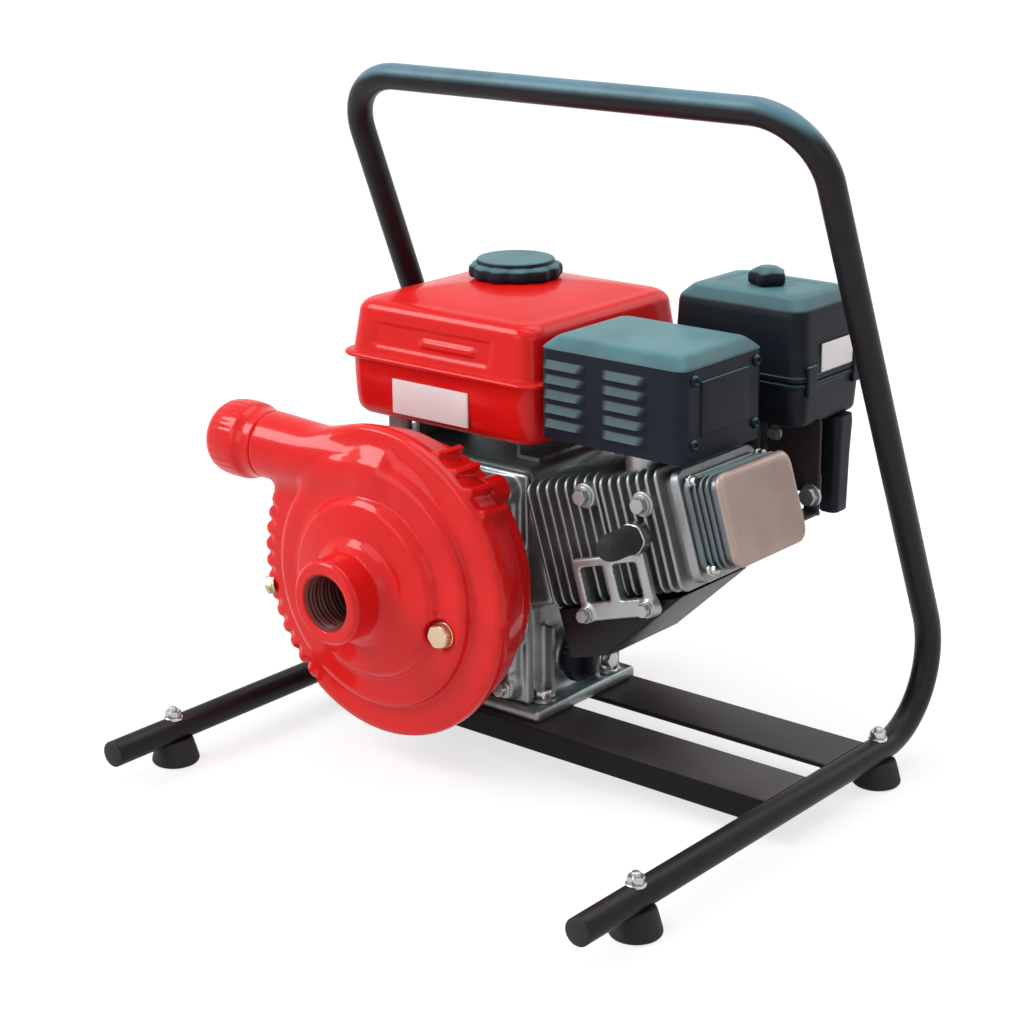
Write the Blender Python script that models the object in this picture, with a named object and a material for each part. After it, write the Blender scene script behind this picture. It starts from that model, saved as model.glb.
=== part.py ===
"""Portable fire pump: a petrol engine and a centrifugal pump on a bent-tube carrying frame.

Layout axes while modelling: X runs across the skid rails with zero midway between them, Y runs from
the suction side to the starter side, Z is up with zero on the ground.  One empty at the end moves the
layout so that the part's origin is the middle of its footprint.  Metres throughout.
"""

import math

import bmesh
import bpy
from mathutils import Matrix, Vector

# Clearances
GAP = 0.0003
RUNNING_GAP = 0.0006
HOLE_GAP = 0.0003

# Facets round a full turn, and the angle above which an edge is sharp
FINE = 32
MEDIUM = 20
SMALL = 12
HEXAGON = 6
SHARP_ANGLE = math.radians(32)

# Carrying frame
TUBE_OD = 0.019
TUBE_WALL = 0.002
RAIL_HALF_SPACING = 0.210
RAIL_FRONT_Y = -0.193
HANDLE_HALF_WIDTH = 0.202
HANDLE_Y = 0.0569
HANDLE_Z = 0.481
UPRIGHT_LEAN = 0.4175
REAR_BEND_R = 0.060
TOP_BEND_R = 0.050
BEND_STEPS = 6
END_PLUG_FLANGE = 0.002
END_PLUG_DEPTH = 0.016

# Rubber feet and their studs
FOOT_HEIGHT = 0.0155
FOOT_TOP_R = 0.0175
FOOT_BASE_R = 0.0135
FOOT_WRAP = 0.003
FOOT_NOTCH_GAP = 0.001
FOOT_FRONT_Y = -0.1354
FOOT_BEFORE_BEND = 0.0072
STUD_R = 0.003
STUD_FLOOR = 0.006
STUD_PROUD = 0.003
STUD_NUT_R = 0.0062
STUD_NUT_H = 0.005

# Engine bearers
ANGLE_WIDTH = 0.050
ANGLE_DROP = 0.019
ANGLE_THICK = 0.004
ANGLE_SET_DOWN = 0.0005

# Engine place and bolts
CRANK_X = -0.086
CRANK_ABOVE_SEAT = 0.106
PTO_FACE_Y = 0.010
BOLT_ROW_BACK = 0.029
BOLT_ROW_PITCH = 0.0745
BOLT_SPACING_X = 0.162
BOLT_R = 0.004
BOLT_HEAD_R = 0.0072
BOLT_HEAD_H = 0.0055
BOLT_NUT_H = 0.0065
BOLT_SPOT_R = 0.0097

# Pump
ADAPTER_DEPTH = 0.022
ADAPTER_R = 0.097
CASING_RIM_R = 0.114
CASING_BACK_R = 0.106
CASING_RIM_H = 0.060
CHAMBER_R = 0.090
CHAMBER_DEPTH = 0.030
EYE_R = 0.040
STEP_R = 0.058
STEP_HEIGHT = 0.008
ANNULUS_RISE = 0.002
BOSS_BLEND = 0.010
MOUTH_EDGE = 0.003
CHAMBER_ROUND = 0.006
SUCTION_FACE_H = 0.110
SUCTION_BOSS_R = 0.030
SUCTION_BORE_R = 0.0205
HORN_RISE = 0.0804
HORN_ROOT_R = 0.0232
HORN_NECK_R = 0.0200
HORN_LENGTH = 0.112
DISCHARGE_BORE_R = 0.0165
COUPLING_R = 0.029
COUPLING_EDGE = 0.004
COUPLING_WAIST_R = 0.0245
COUPLING_WAIST_L = 0.010
COUPLING_FLARE_L = 0.0075
COUPLING_BARREL_L = 0.022
COUPLING_NOSE_L = 0.0065
COUPLING_BORE_STEP = 0.0023
IMPELLER_R = 0.078
IMPELLER_DISC = 0.004
IMPELLER_BACK_GAP = 0.0012
IMPELLER_HUB_R = 0.018
IMPELLER_HUB_FLARE = 0.008
IMPELLER_NUT_R = 0.0125
IMPELLER_NUT_H = 0.009
IMPELLER_NUT_NOSE = 0.0036
VANE_COUNT = 6
VANE_HEIGHT = 0.016
VANE_THICK = 0.004
VANE_ROOT = 0.004
VANE_TIP_INSET = 0.001
VANE_SWEEP = math.radians(50)
VANE_STEPS = 4
SEAL_R = 0.021
SEAL_DEPTH = 0.010
PLUG_R = 0.0085
PLUG_HEAD_H = 0.006
PLUG_SHANK_R = 0.0055
PLUG_SHANK_H = 0.009
PLUG_SEAT_R = 0.072
PLUG_SPOT_MARGIN = 0.0025
PLUG_SPOT_DEPTH = 0.001
PRIMING_PLUG_ANGLE = math.radians(-16)

# Shaft line
SHAFT_R = 0.010
JOURNAL_R = 0.0125
JOURNAL_OVERRUN = 0.002
BEARING_R = 0.026
BEARING_W = 0.015
CRANK_THROW = 0.027
CRANK_PIN_R = 0.014
CRANK_CORE_R = 0.002
WEB_R = 0.048
WEB_T = 0.013
PIN_LENGTH = 0.024

# Crankcase and side cover
COVER_DEPTH = 0.020
COVER_MARGIN = 0.004
COVER_CORNER_R = 0.030
CASE_DEPTH = 0.105
CASE_HALF_W = 0.078
CASE_HEIGHT = 0.184
CASE_WALL = 0.012
CASE_REAR_WALL = 0.019
CASE_EDGE_R = 0.008
FLANGE_HALF_W = 0.093
FLANGE_FRONT = 0.012
FLANGE_T = 0.010
FLANGE_EDGE_R = 0.003

# Cylinder
CYLINDER_TILT = math.radians(17)
CYLINDER_BACK = 0.060
BORE_R = 0.034
BARREL_R = 0.043
DECK_D = 0.163
DECK_LAND = 0.004
FIN_FIRST_D = 0.098
FIN_COUNT = 6
FIN_T = 0.003
FIN_WIDTH = 0.100
FIN_HEIGHT = 0.092
HEAD_LENGTH = 0.066
HEAD_WIDTH = 0.100
HEAD_HEIGHT = 0.086
HEAD_EDGE_R = 0.004
ROCKER_LENGTH = 0.032
ROCKER_WIDTH = 0.088
ROCKER_HEIGHT = 0.068
ROCKER_EDGE_R = 0.008
PISTON_LENGTH = 0.040
PISTON_GAP = 0.0005
PISTON_WALL = 0.005
PISTON_CROWN = 0.008
DECK_CLEARANCE = 0.002
SHROUD_T = 0.002
SHROUD_DEPTH = 0.036
SHROUD_DEEP_D = 0.138
SHROUD_END_D = 0.222
SHROUD_CORNER_R = 0.006

# Spark plug
SPARK_D = 0.190
SPARK_THREAD_R = 0.006
SPARK_THREAD_L = 0.012
SPARK_HEX_R = 0.0105
SPARK_HEX_L = 0.010
SPARK_CERAMIC_R = 0.0045
SPARK_CERAMIC_L = 0.024
BOOT_R = 0.0105
BOOT_LENGTH = 0.030
BOOT_NOSE_L = 0.006
BOOT_NOSE_IN = 0.004

# Flywheel side
FLYWHEEL_R = 0.080
FLYWHEEL_T = 0.022
FLYWHEEL_OFFSET = 0.006
FAN_BLADES = 10
FAN_BLADE_H = 0.014
FAN_BLADE_ROOT_R = 0.046
FAN_BLADE_INSET = 0.002
STARTER_CUP_R = 0.034
STARTER_CUP_L = 0.022
SHEET_T = 0.002
HOUSING_R = 0.092
HOUSING_DEPTH = 0.080
HOUSING_INLET_R = 0.062
HOUSING_LIP_R = 0.066
RECOIL_R = 0.086
RECOIL_DEPTH = 0.045
RECOIL_CROWN_R = 0.058
RECOIL_SHOULDER = 0.016
POST_R = 0.008
POST_SHORT = 0.010
PULLEY_R = 0.046
PULLEY_T = 0.012
PULLEY_LIFT = 0.008
PULLEY_RIM = 0.002
ROPE_R = 0.039
GRIP_LENGTH = 0.090
GRIP_R = 0.011
GRIP_WAIST_R = 0.0095
GRIP_END_R = 0.0077
GRIP_END_L = 0.006
GRIP_STEM_R = 0.006
GRIP_STEM_TOP_R = 0.009
GRIP_STEM_L = 0.012
GRIP_LIFT = 0.008
GRIP_BACK = 0.0135
GRIP_ANGLE = math.radians(150)

# Fuel tank
TANK_HALF_W = 0.089
TANK_BEHIND_FACE = 0.010
TANK_DEPTH = 0.179
TANK_LOWER_H = 0.0468
TANK_UPPER_H = 0.0397
TANK_CROWN_H = 0.010
TANK_WALL = 0.002
TANK_LIP = 0.005
TANK_LIP_T = 0.003
TANK_FLOOR_TAPER = 0.024
TANK_HEEL_TAPER = 0.0132
TANK_HEEL_H = 0.006
TANK_FLANK_TAPER = 0.004
TANK_FLANK_PART = 0.75
TANK_SEAM_TAPER = 0.002
TANK_EAVE_TAPER = 0.007
TANK_EAVE_H = 0.010
TANK_SHOULDER_TAPER = 0.014
TANK_TOP_TAPER = 0.038
TANK_CORNER_R = 0.018
FILLER_LEFT = 0.009
FILLER_BACK = 0.101
FILLER_R = 0.022
FILLER_WALL = 0.003
FILLER_H = 0.007
CAP_R = 0.035
CAP_H = 0.0135
CAP_TOP_T = 0.004
CAP_EDGE = 0.003
CAP_SCALLOPS = 8
CAP_SCALLOP_R = 0.011
CAP_SCALLOP_OUT = 0.008
BRACKET_RISE = 0.0185
BRACKET_HALF_W = 0.050
BRACKET_HALF_DEPTH = 0.030
BRACKET_FOOT = 0.0175
BRACKET_T = 0.003

# Exhaust
GUARD_FROM_TANK = 0.005
GUARD_WIDTH = 0.122
GUARD_DEPTH = 0.095
GUARD_RISE = 0.110
GUARD_HEIGHT = 0.072
GUARD_T = 0.002
GUARD_CHAMFER = 0.010
GUARD_BEND = 0.0035
GUARD_CORNER_R = 0.009
SLOT_ROWS = 5
SLOT_COLUMNS = (0.0225, 0.073)
SLOT_WIDTH = 0.035
SLOT_HEIGHT = 0.0055
SLOT_PITCH = 0.0104
SLOT_DROP = 0.0185
CAN_CLEAR = 0.006
CAN_EDGE_R = 0.008
CAN_BOSS_R = 0.004
CAN_BOSS_IN = 0.024
CAN_BOSS_RISES = (0.018, 0.042)
EXHAUST_R = 0.015
EXHAUST_WALL = 0.003
EXHAUST_IN = 0.075
EXHAUST_ENTRY = 0.012

# Air cleaner
CLEANER_FROM_CRANK = 0.119
CLEANER_WIDTH = 0.112
CLEANER_BEHIND_FACE = 0.127
CLEANER_DEPTH = 0.084
CLEANER_RISE = 0.110
CLEANER_CASE_H = 0.033
CLEANER_HEIGHT = 0.092
CLEANER_WALL = 0.002
CLEANER_CORNER_R = 0.016
CLEANER_CORNER_SHRINK = 0.008
CLEANER_FLOOR_DRAW = 0.008
CLEANER_HEEL_DRAW = 0.002
CLEANER_HEEL_H = 0.010
CLEANER_EAVE_DRAW = 0.001
CLEANER_CHAMFER = 0.009
CLEANER_CHAMFER_BEND = 0.0035
CLEANER_ROOF_DRAW = 0.011
KNOB_IN_X = 0.057
KNOB_IN_Y = 0.040
KNOB_R = 0.013
KNOB_FOOT_R = 0.008
KNOB_CROWN_R = 0.009
KNOB_H = 0.012
KNOB_GRIP = (0.0042, 0.0096)
KNOB_STEM_R = 0.003
KNOB_STEM_L = 0.014
FILTER_FLOOR_DRAW = 0.018
FILTER_TOP_DRAW = 0.012
FILTER_T = 0.012
DUCT_WIDTH = 0.019
DUCT_DEPTH = 0.022
DUCT_PROUD = 0.002
DUCT_FROM_BACK = 0.013
DUCT_DROP = 0.072
DUCT_TAPER = 0.002
DUCT_WALL = 0.003
DUCT_CORNER_R = 0.006

# Carburettor and intake elbow
CARB_BEFORE_DECK = 0.01556
CARB_WIDTH = 0.040
CARB_DEPTH = 0.044
CARB_RISE = 0.047
CARB_HEIGHT = 0.039
CARB_EDGE_R = 0.004
CARB_THROAT_R = 0.011
BOWL_R = 0.020
BOWL_H = 0.032
ELBOW_R = 0.015
ELBOW_WALL = 0.003
ELBOW_BEND_R = 0.020
ELBOW_STRAIGHT = 0.004
ELBOW_STEPS = 4

# Controls
LEVER_T = 0.0025
LEVER_HUB_R = 0.006
LEVER_TIP_R = 0.0065
LEVER_STEPS = 8
CHOKE_ARM = 0.030
CHOKE_BACK = 0.012
CHOKE_DROP = 0.010
FUEL_ARM = 0.026
FUEL_FORWARD = 0.010
FUEL_RISE = 0.008
THROTTLE_ARM = 0.070
THROTTLE_IN = 0.012
PLATE_FROM_CRANK = 0.052
PLATE_WIDTH = 0.062
PLATE_DEPTH = 0.0365
PLATE_FROM_FINS = 0.0015
PLATE_T = 0.003
SWITCH_PAD = 0.028
SWITCH_PAD_DEPTH = 0.024
SWITCH_PAD_BITE = 0.002
SWITCH_PAD_EDGE_R = 0.003
SWITCH_ANGLE = math.radians(42)
SWITCH_KNOB_R = 0.010
SWITCH_KNOB_H = 0.006
SWITCH_BAR_HALF_L = 0.009
SWITCH_BAR_HALF_T = 0.0022
SWITCH_BAR_H = (0.0033, 0.011)
OIL_BEHIND_FACE = 0.060
OIL_ABOVE_SEAT = 0.038
OIL_NECK_R = 0.016
OIL_NECK_L = 0.010
OIL_BORE_R = 0.011
OIL_CAP_R = 0.0195
OIL_CAP_CROWN_R = 0.0156
OIL_CAP_EDGE_H = 0.0072
OIL_CAP_H = 0.0084
OIL_CAP_PLUG = 0.004
OIL_BAR_HALF_L = 0.0146
OIL_BAR_HALF_T = 0.003
OIL_BAR_H = (0.006, 0.0156)

# Places that follow from the sizes above
TUBE_R = TUBE_OD / 2
RAIL_Z = FOOT_HEIGHT + TUBE_R
SEAT_Z = RAIL_Z + TUBE_R - ANGLE_SET_DOWN
BASE_Z = SEAT_Z + GAP
CRANK_Z = SEAT_Z + CRANK_ABOVE_SEAT
BOLT_ROWS_Y = (PTO_FACE_Y + BOLT_ROW_BACK, PTO_FACE_Y + BOLT_ROW_BACK + BOLT_ROW_PITCH)
BOLT_COLUMNS_X = (CRANK_X - BOLT_SPACING_X / 2, CRANK_X + BOLT_SPACING_X / 2)
REAR_CORNER_Y = HANDLE_Y + UPRIGHT_LEAN * (HANDLE_Z - RAIL_Z)
REAR_BEND_Y = REAR_CORNER_Y - REAR_BEND_R / math.tan(math.atan2(1, UPRIGHT_LEAN) / 2)
FOOT_REAR_Y = REAR_BEND_Y - FOOT_BEFORE_BEND
CASE_FRONT_Y = PTO_FACE_Y + GAP + COVER_DEPTH + GAP
CASE_BACK_Y = CASE_FRONT_Y + CASE_DEPTH
CASE_LEFT_X = CRANK_X - CASE_HALF_W
CASE_RIGHT_X = CRANK_X + CASE_HALF_W
CASE_TOP_Z = SEAT_Z + CASE_HEIGHT
HOUSING_FRONT_Y = CASE_BACK_Y + GAP
HOUSING_BACK_Y = HOUSING_FRONT_Y + HOUSING_DEPTH
RECOIL_FRONT_Y = HOUSING_BACK_Y + GAP
RECOIL_BACK_Y = RECOIL_FRONT_Y + RECOIL_DEPTH
CASING_BACK_H = ADAPTER_DEPTH + GAP
HORN_END_X = CRANK_X - HORN_LENGTH
HORN_Y = PTO_FACE_Y - CASING_BACK_H - HORN_ROOT_R - GAP
HORN_Z = CRANK_Z + HORN_RISE
COUPLING_LENGTH = COUPLING_WAIST_L + COUPLING_FLARE_L + COUPLING_BARREL_L + COUPLING_NOSE_L
COUPLING_TIP_X = HORN_END_X - GAP - COUPLING_LENGTH
CYLINDER_Y = PTO_FACE_Y + CYLINDER_BACK
HEAD_D = DECK_D + GAP
ROCKER_D = HEAD_D + HEAD_LENGTH + GAP
TANK_X = (CRANK_X - TANK_HALF_W, CRANK_X + TANK_HALF_W)
TANK_Y = (PTO_FACE_Y + TANK_BEHIND_FACE, PTO_FACE_Y + TANK_BEHIND_FACE + TANK_DEPTH)
TANK_BOTTOM_Z = CASE_TOP_Z + BRACKET_RISE
TANK_SEAM_Z = TANK_BOTTOM_Z + TANK_LOWER_H
TANK_SHOULDER_Z = TANK_SEAM_Z + TANK_UPPER_H
TANK_TOP_Z = TANK_SHOULDER_Z + TANK_CROWN_H
FILLER_X = CRANK_X - FILLER_LEFT
FILLER_Y = TANK_Y[0] + FILLER_BACK
GUARD_X = (TANK_X[1] + GUARD_FROM_TANK, TANK_X[1] + GUARD_FROM_TANK + GUARD_WIDTH)
GUARD_Y = (TANK_Y[0], TANK_Y[0] + GUARD_DEPTH)
GUARD_Z = (CRANK_Z + GUARD_RISE, CRANK_Z + GUARD_RISE + GUARD_HEIGHT)
EXHAUST_X = GUARD_X[0] + EXHAUST_IN
EXHAUST_Y = CYLINDER_Y - HEAD_WIDTH / 4
CLEANER_X = (CRANK_X + CLEANER_FROM_CRANK, CRANK_X + CLEANER_FROM_CRANK + CLEANER_WIDTH)
CLEANER_Y = (PTO_FACE_Y + CLEANER_BEHIND_FACE, PTO_FACE_Y + CLEANER_BEHIND_FACE + CLEANER_DEPTH)
CLEANER_Z = (CRANK_Z + CLEANER_RISE, CRANK_Z + CLEANER_RISE + CLEANER_HEIGHT)
CLEANER_SPLIT_Z = CLEANER_Z[0] + CLEANER_CASE_H
KNOB_X = CLEANER_X[0] + KNOB_IN_X
KNOB_Y = CLEANER_Y[0] + KNOB_IN_Y
DUCT_X = (CLEANER_X[1] + DUCT_PROUD - DUCT_WIDTH, CLEANER_X[1] + DUCT_PROUD)
DUCT_Y = (CLEANER_Y[1] - DUCT_FROM_BACK - DUCT_DEPTH, CLEANER_Y[1] - DUCT_FROM_BACK)
DUCT_BOTTOM_Z = CLEANER_Z[0] - DUCT_DROP
CARB_LEFT_X = CRANK_X + (DECK_D - CARB_BEFORE_DECK) * math.cos(CYLINDER_TILT)
CARB_X = (CARB_LEFT_X, CARB_LEFT_X + CARB_WIDTH)
CARB_Y = (CYLINDER_Y + HEAD_WIDTH / 2 + GAP, CYLINDER_Y + HEAD_WIDTH / 2 + GAP + CARB_DEPTH)
CARB_Z = (CRANK_Z + CARB_RISE, CRANK_Z + CARB_RISE + CARB_HEIGHT)
ELBOW_X = (CARB_X[0] + CARB_X[1]) / 2
ELBOW_Y = CARB_Y[1] + ELBOW_BEND_R + ELBOW_STRAIGHT
PLATE_X = (CRANK_X + PLATE_FROM_CRANK, CRANK_X + PLATE_FROM_CRANK + PLATE_WIDTH)
FIN_BACK_Y = CYLINDER_Y + FIN_WIDTH / 2
PLATE_Y = (FIN_BACK_Y + PLATE_FROM_FINS, FIN_BACK_Y + PLATE_FROM_FINS + PLATE_DEPTH)
OIL_Y = PTO_FACE_Y + OIL_BEHIND_FACE
OIL_Z = SEAT_Z + OIL_ABOVE_SEAT
SWITCH_REACH = HOUSING_R + SWITCH_PAD / 2 - SWITCH_PAD_BITE
SWITCH_X = CRANK_X + SWITCH_REACH * math.cos(SWITCH_ANGLE)
SWITCH_Z = CRANK_Z + SWITCH_REACH * math.sin(SWITCH_ANGLE)
IMPELLER_BACK_H = ADAPTER_DEPTH + IMPELLER_BACK_GAP
IMPELLER_FACE_H = IMPELLER_BACK_H + IMPELLER_DISC
HUB_FACE_H = IMPELLER_FACE_H + VANE_HEIGHT / 2

# Directions and the point on the crank axis that heights are counted from
FRONT = (0, -1, 0)
BACK = (0, 1, 0)
LEFT = (-1, 0, 0)
RIGHT = (1, 0, 0)
CRANK_FACE = (CRANK_X, PTO_FACE_Y, CRANK_Z)
GRIP_OUT = Vector((math.cos(GRIP_ANGLE), 0, math.sin(GRIP_ANGLE)))

# Colours
RED = (0.73, 0.012, 0.014)
BLACK_PAINT = (0.018, 0.017, 0.019)
BLACK_PLASTIC = (0.014, 0.018, 0.022)
RUBBER = (0.012, 0.012, 0.012)
ALUMINIUM = (0.42, 0.42, 0.43)
STEEL = (0.50, 0.50, 0.52)
ZINC = (0.62, 0.62, 0.64)
BRASS = (0.55, 0.36, 0.10)
WARM_SILVER = (0.50, 0.42, 0.33)
CARBON = (0.06, 0.06, 0.065)
FILTER_FOAM = (0.30, 0.22, 0.08)
CERAMIC = (0.80, 0.80, 0.76)

# Finish of each kind of piece: colour, roughness, metallic
FINISHES = {
    "enamel": (RED, 0.28, 0.0),
    "frame_paint": (BLACK_PAINT, 0.40, 0.0),
    "plastic": (BLACK_PLASTIC, 0.45, 0.0),
    "rubber": (RUBBER, 0.80, 0.0),
    "casting": (ALUMINIUM, 0.50, 0.9),
    "steel": (STEEL, 0.35, 1.0),
    "zinc": (ZINC, 0.30, 1.0),
    "brass": (BRASS, 0.35, 1.0),
    "rocker": (WARM_SILVER, 0.45, 0.8),
    "carbon": (CARBON, 0.50, 0.0),
    "foam": (FILTER_FOAM, 0.95, 0.0),
    "ceramic": (CERAMIC, 0.20, 0.0),
}


def clear_scene():
    for item in list(bpy.data.objects):
        bpy.data.objects.remove(item)


def paint(name, colour, roughness, metallic):
    """One Principled material for one piece."""
    material = bpy.data.materials.new(name)
    material.use_nodes = True
    shader = material.node_tree.nodes["Principled BSDF"]
    shader.inputs["Base Color"].default_value = (*colour, 1.0)
    shader.inputs["Roughness"].default_value = roughness
    shader.inputs["Metallic"].default_value = metallic
    return material


def add_object(name, form, finish, location=(0, 0, 0), direction=None, parent=None):
    """Turn a finished bmesh into a named object; direction is where the form's own +Z points."""
    bmesh.ops.recalc_face_normals(form, faces=form.faces)
    mesh = bpy.data.meshes.new(name)
    form.to_mesh(mesh)
    form.free()
    mesh.shade_smooth()
    mesh.set_sharp_from_angle(angle=SHARP_ANGLE)
    piece = bpy.data.objects.new(name, mesh)
    piece.data.materials.append(paint(name, *FINISHES[finish]))
    bpy.context.scene.collection.objects.link(piece)
    piece.location = location
    if direction is not None:
        piece.rotation_euler = Vector(direction).to_track_quat("Z", "Y").to_euler()
    piece.parent = parent
    return piece


def turned(profile, steps):
    """Spin a loop of (radius, height) points round Z; sides of the loop that lie on the axis are left out."""
    form = bmesh.new()
    points = [form.verts.new((radius, 0, height)) for radius, height in profile]
    sides = zip(points, points[1:] + points[:1])
    edges = [form.edges.new(pair) for pair in sides if pair[0].co.x + pair[1].co.x > 0]
    bmesh.ops.spin(form, geom=points + edges, cent=(0, 0, 0), axis=(0, 0, 1), angle=math.tau,
                   steps=steps, use_merge=True)
    bmesh.ops.remove_doubles(form, verts=form.verts, dist=1e-6)
    return form


def rod(radius, low, high, steps=MEDIUM):
    return turned([(0, low), (radius, low), (radius, high), (0, high)], steps)


def ring(inner, outer, low, high, steps=MEDIUM):
    return turned([(inner, low), (outer, low), (outer, high), (inner, high)], steps)


def box(low, high, bevel=0.0, bevel_steps=2):
    """A block between two corners, with its edges rounded when bevel is given."""
    form = bmesh.new()
    middle = [(a + b) / 2 for a, b in zip(low, high)]
    size = [b - a for a, b in zip(low, high)]
    place = Matrix.Translation(middle) @ Matrix.Diagonal((*size, 1))
    bmesh.ops.create_cube(form, size=1, matrix=place)
    if bevel:
        bmesh.ops.bevel(form, geom=form.edges[:], offset=bevel, segments=bevel_steps,
                        affect="EDGES", profile=0.5)
    return form


def prism(outline, low, high):
    """Carry a flat outline of (x, y) points from z=low to z=high."""
    form = bmesh.new()
    face = form.faces.new([form.verts.new((x, y, low)) for x, y in outline])
    grown = bmesh.ops.extrude_face_region(form, geom=[face])
    verts = [item for item in grown["geom"] if isinstance(item, bmesh.types.BMVert)]
    bmesh.ops.translate(form, verts=verts, vec=(0, 0, high - low))
    return form


def rounded_rectangle(x_span, y_span, radius, corner_steps=3):
    """Points of a rectangle with round corners, counter-clockwise."""
    corners = ((1, 1, 0), (0, 1, 90), (0, 0, 180), (1, 0, 270))
    points = []
    for right, back, start in corners:
        cx = x_span[1] - radius if right else x_span[0] + radius
        cy = y_span[1] - radius if back else y_span[0] + radius
        for step in range(corner_steps + 1):
            angle = math.radians(start + 90 * step / corner_steps)
            points.append((cx + radius * math.cos(angle), cy + radius * math.sin(angle)))
    return points


def lofted(levels):
    """Skin a stack of (outline, z) rings that share a point count, with flat ends."""
    form = bmesh.new()
    rings = [[form.verts.new((x, y, z)) for x, y in outline] for outline, z in levels]
    count = len(rings[0])
    for below, above in zip(rings, rings[1:]):
        for i in range(count):
            j = (i + 1) % count
            form.faces.new((below[i], below[j], above[j], above[i]))
    form.faces.new(rings[0])
    form.faces.new(rings[-1])
    return form


def inset(span, amount):
    return (span[0] + amount, span[1] - amount)


def rounded_path(corners, radii, bend_steps):
    """Corner points joined by straight runs with a circular bend at each inner corner."""
    path = [Vector(corners[0])]
    for before, corner, after, radius in zip(corners, corners[1:], corners[2:], radii):
        corner = Vector(corner)
        back = (Vector(before) - corner).normalized()
        ahead = (Vector(after) - corner).normalized()
        half = back.angle(ahead) / 2
        centre = corner + (back + ahead).normalized() * (radius / math.sin(half))
        start = corner + back * (radius / math.tan(half)) - centre
        axis = ahead.cross(back).normalized()
        turn = math.pi - 2 * half
        for step in range(bend_steps + 1):
            path.append(centre + Matrix.Rotation(turn * step / bend_steps, 3, axis) @ start)
    path.append(Vector(corners[-1]))
    return path


def swept_tube(path, outer, inner, sides):
    """A pipe along a path of points, open at both ends, with rings square to the path."""
    form = bmesh.new()
    side = Vector((0, 0, 1))
    rings = []
    for index, point in enumerate(path):
        ahead = path[min(index + 1, len(path) - 1)] - path[max(index - 1, 0)]
        ahead.normalize()
        side = (side - ahead * side.dot(ahead)).normalized()
        other = ahead.cross(side)
        turns = [math.tau * i / sides for i in range(sides)]
        spokes = [side * math.cos(t) + other * math.sin(t) for t in turns]
        rings.append([[form.verts.new(point + spoke * r) for spoke in spokes] for r in (outer, inner)])
    for before, after in zip(rings, rings[1:]):
        for wall in (0, 1):
            for i in range(sides):
                j = (i + 1) % sides
                form.faces.new((before[wall][i], before[wall][j], after[wall][j], after[wall][i]))
    for end in (rings[0], rings[-1]):
        for i in range(sides):
            j = (i + 1) % sides
            form.faces.new((end[0][i], end[0][j], end[1][j], end[1][i]))
    return form


def boolean(target, form, operation, location=(0, 0, 0), direction=None, parent=None):
    """Cut a form out of an object, or fuse it on, and keep the result as the object's mesh."""
    tool = add_object("tool", form, "steel", location, direction, parent)
    modifier = target.modifiers.new(operation, "BOOLEAN")
    modifier.operation = operation
    modifier.solver = "EXACT"
    modifier.object = tool
    bpy.context.view_layer.update()
    graph = bpy.context.evaluated_depsgraph_get()
    mesh = bpy.data.meshes.new_from_object(target.evaluated_get(graph))
    target.modifiers.clear()
    spare = target.data
    target.data = mesh
    bpy.data.meshes.remove(spare)
    mesh.name = target.name
    tool_material = tool.data.materials[0]
    bpy.data.objects.remove(tool)
    bpy.data.materials.remove(tool_material)
    tidy = bmesh.new()
    tidy.from_mesh(mesh)
    bmesh.ops.remove_doubles(tidy, verts=tidy.verts, dist=2e-6)
    bmesh.ops.dissolve_degenerate(tidy, edges=tidy.edges, dist=1e-6)
    tidy.to_mesh(mesh)
    tidy.free()
    while len(mesh.materials) > 1:
        mesh.materials.pop(index=len(mesh.materials) - 1)
    mesh.shade_smooth()
    mesh.set_sharp_from_angle(angle=SHARP_ANGLE)


def cut(target, form, location=(0, 0, 0), direction=None, parent=None):
    boolean(target, form, "DIFFERENCE", location, direction, parent)


def fuse(target, form, location=(0, 0, 0), direction=None, parent=None):
    boolean(target, form, "UNION", location, direction, parent)


# Carrying frame


def foot_places():
    return {
        "front_left": (-RAIL_HALF_SPACING, FOOT_FRONT_Y),
        "front_right": (RAIL_HALF_SPACING, FOOT_FRONT_Y),
        "rear_left": (-RAIL_HALF_SPACING, FOOT_REAR_Y),
        "rear_right": (RAIL_HALF_SPACING, FOOT_REAR_Y),
    }


def make_frame_tube():
    """One tube: left rail, rear bend, leaning upright, handle bar, and back down the right side."""
    rail, top = RAIL_HALF_SPACING, HANDLE_HALF_WIDTH
    corners = (
        (-rail, RAIL_FRONT_Y, RAIL_Z),
        (-rail, REAR_CORNER_Y, RAIL_Z),
        (-top, HANDLE_Y, HANDLE_Z),
        (top, HANDLE_Y, HANDLE_Z),
        (rail, REAR_CORNER_Y, RAIL_Z),
        (rail, RAIL_FRONT_Y, RAIL_Z),
    )
    bends = (REAR_BEND_R, TOP_BEND_R, TOP_BEND_R, REAR_BEND_R)
    path = rounded_path(corners, bends, BEND_STEPS)
    tube = add_object("frame_tube", swept_tube(path, TUBE_R, TUBE_R - TUBE_WALL, SMALL), "frame_paint")
    for foot_x, foot_y in foot_places().values():
        hole = rod(STUD_R + HOLE_GAP, -TUBE_OD, TUBE_OD, SMALL)
        cut(tube, hole, (foot_x, foot_y, RAIL_Z))


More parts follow.
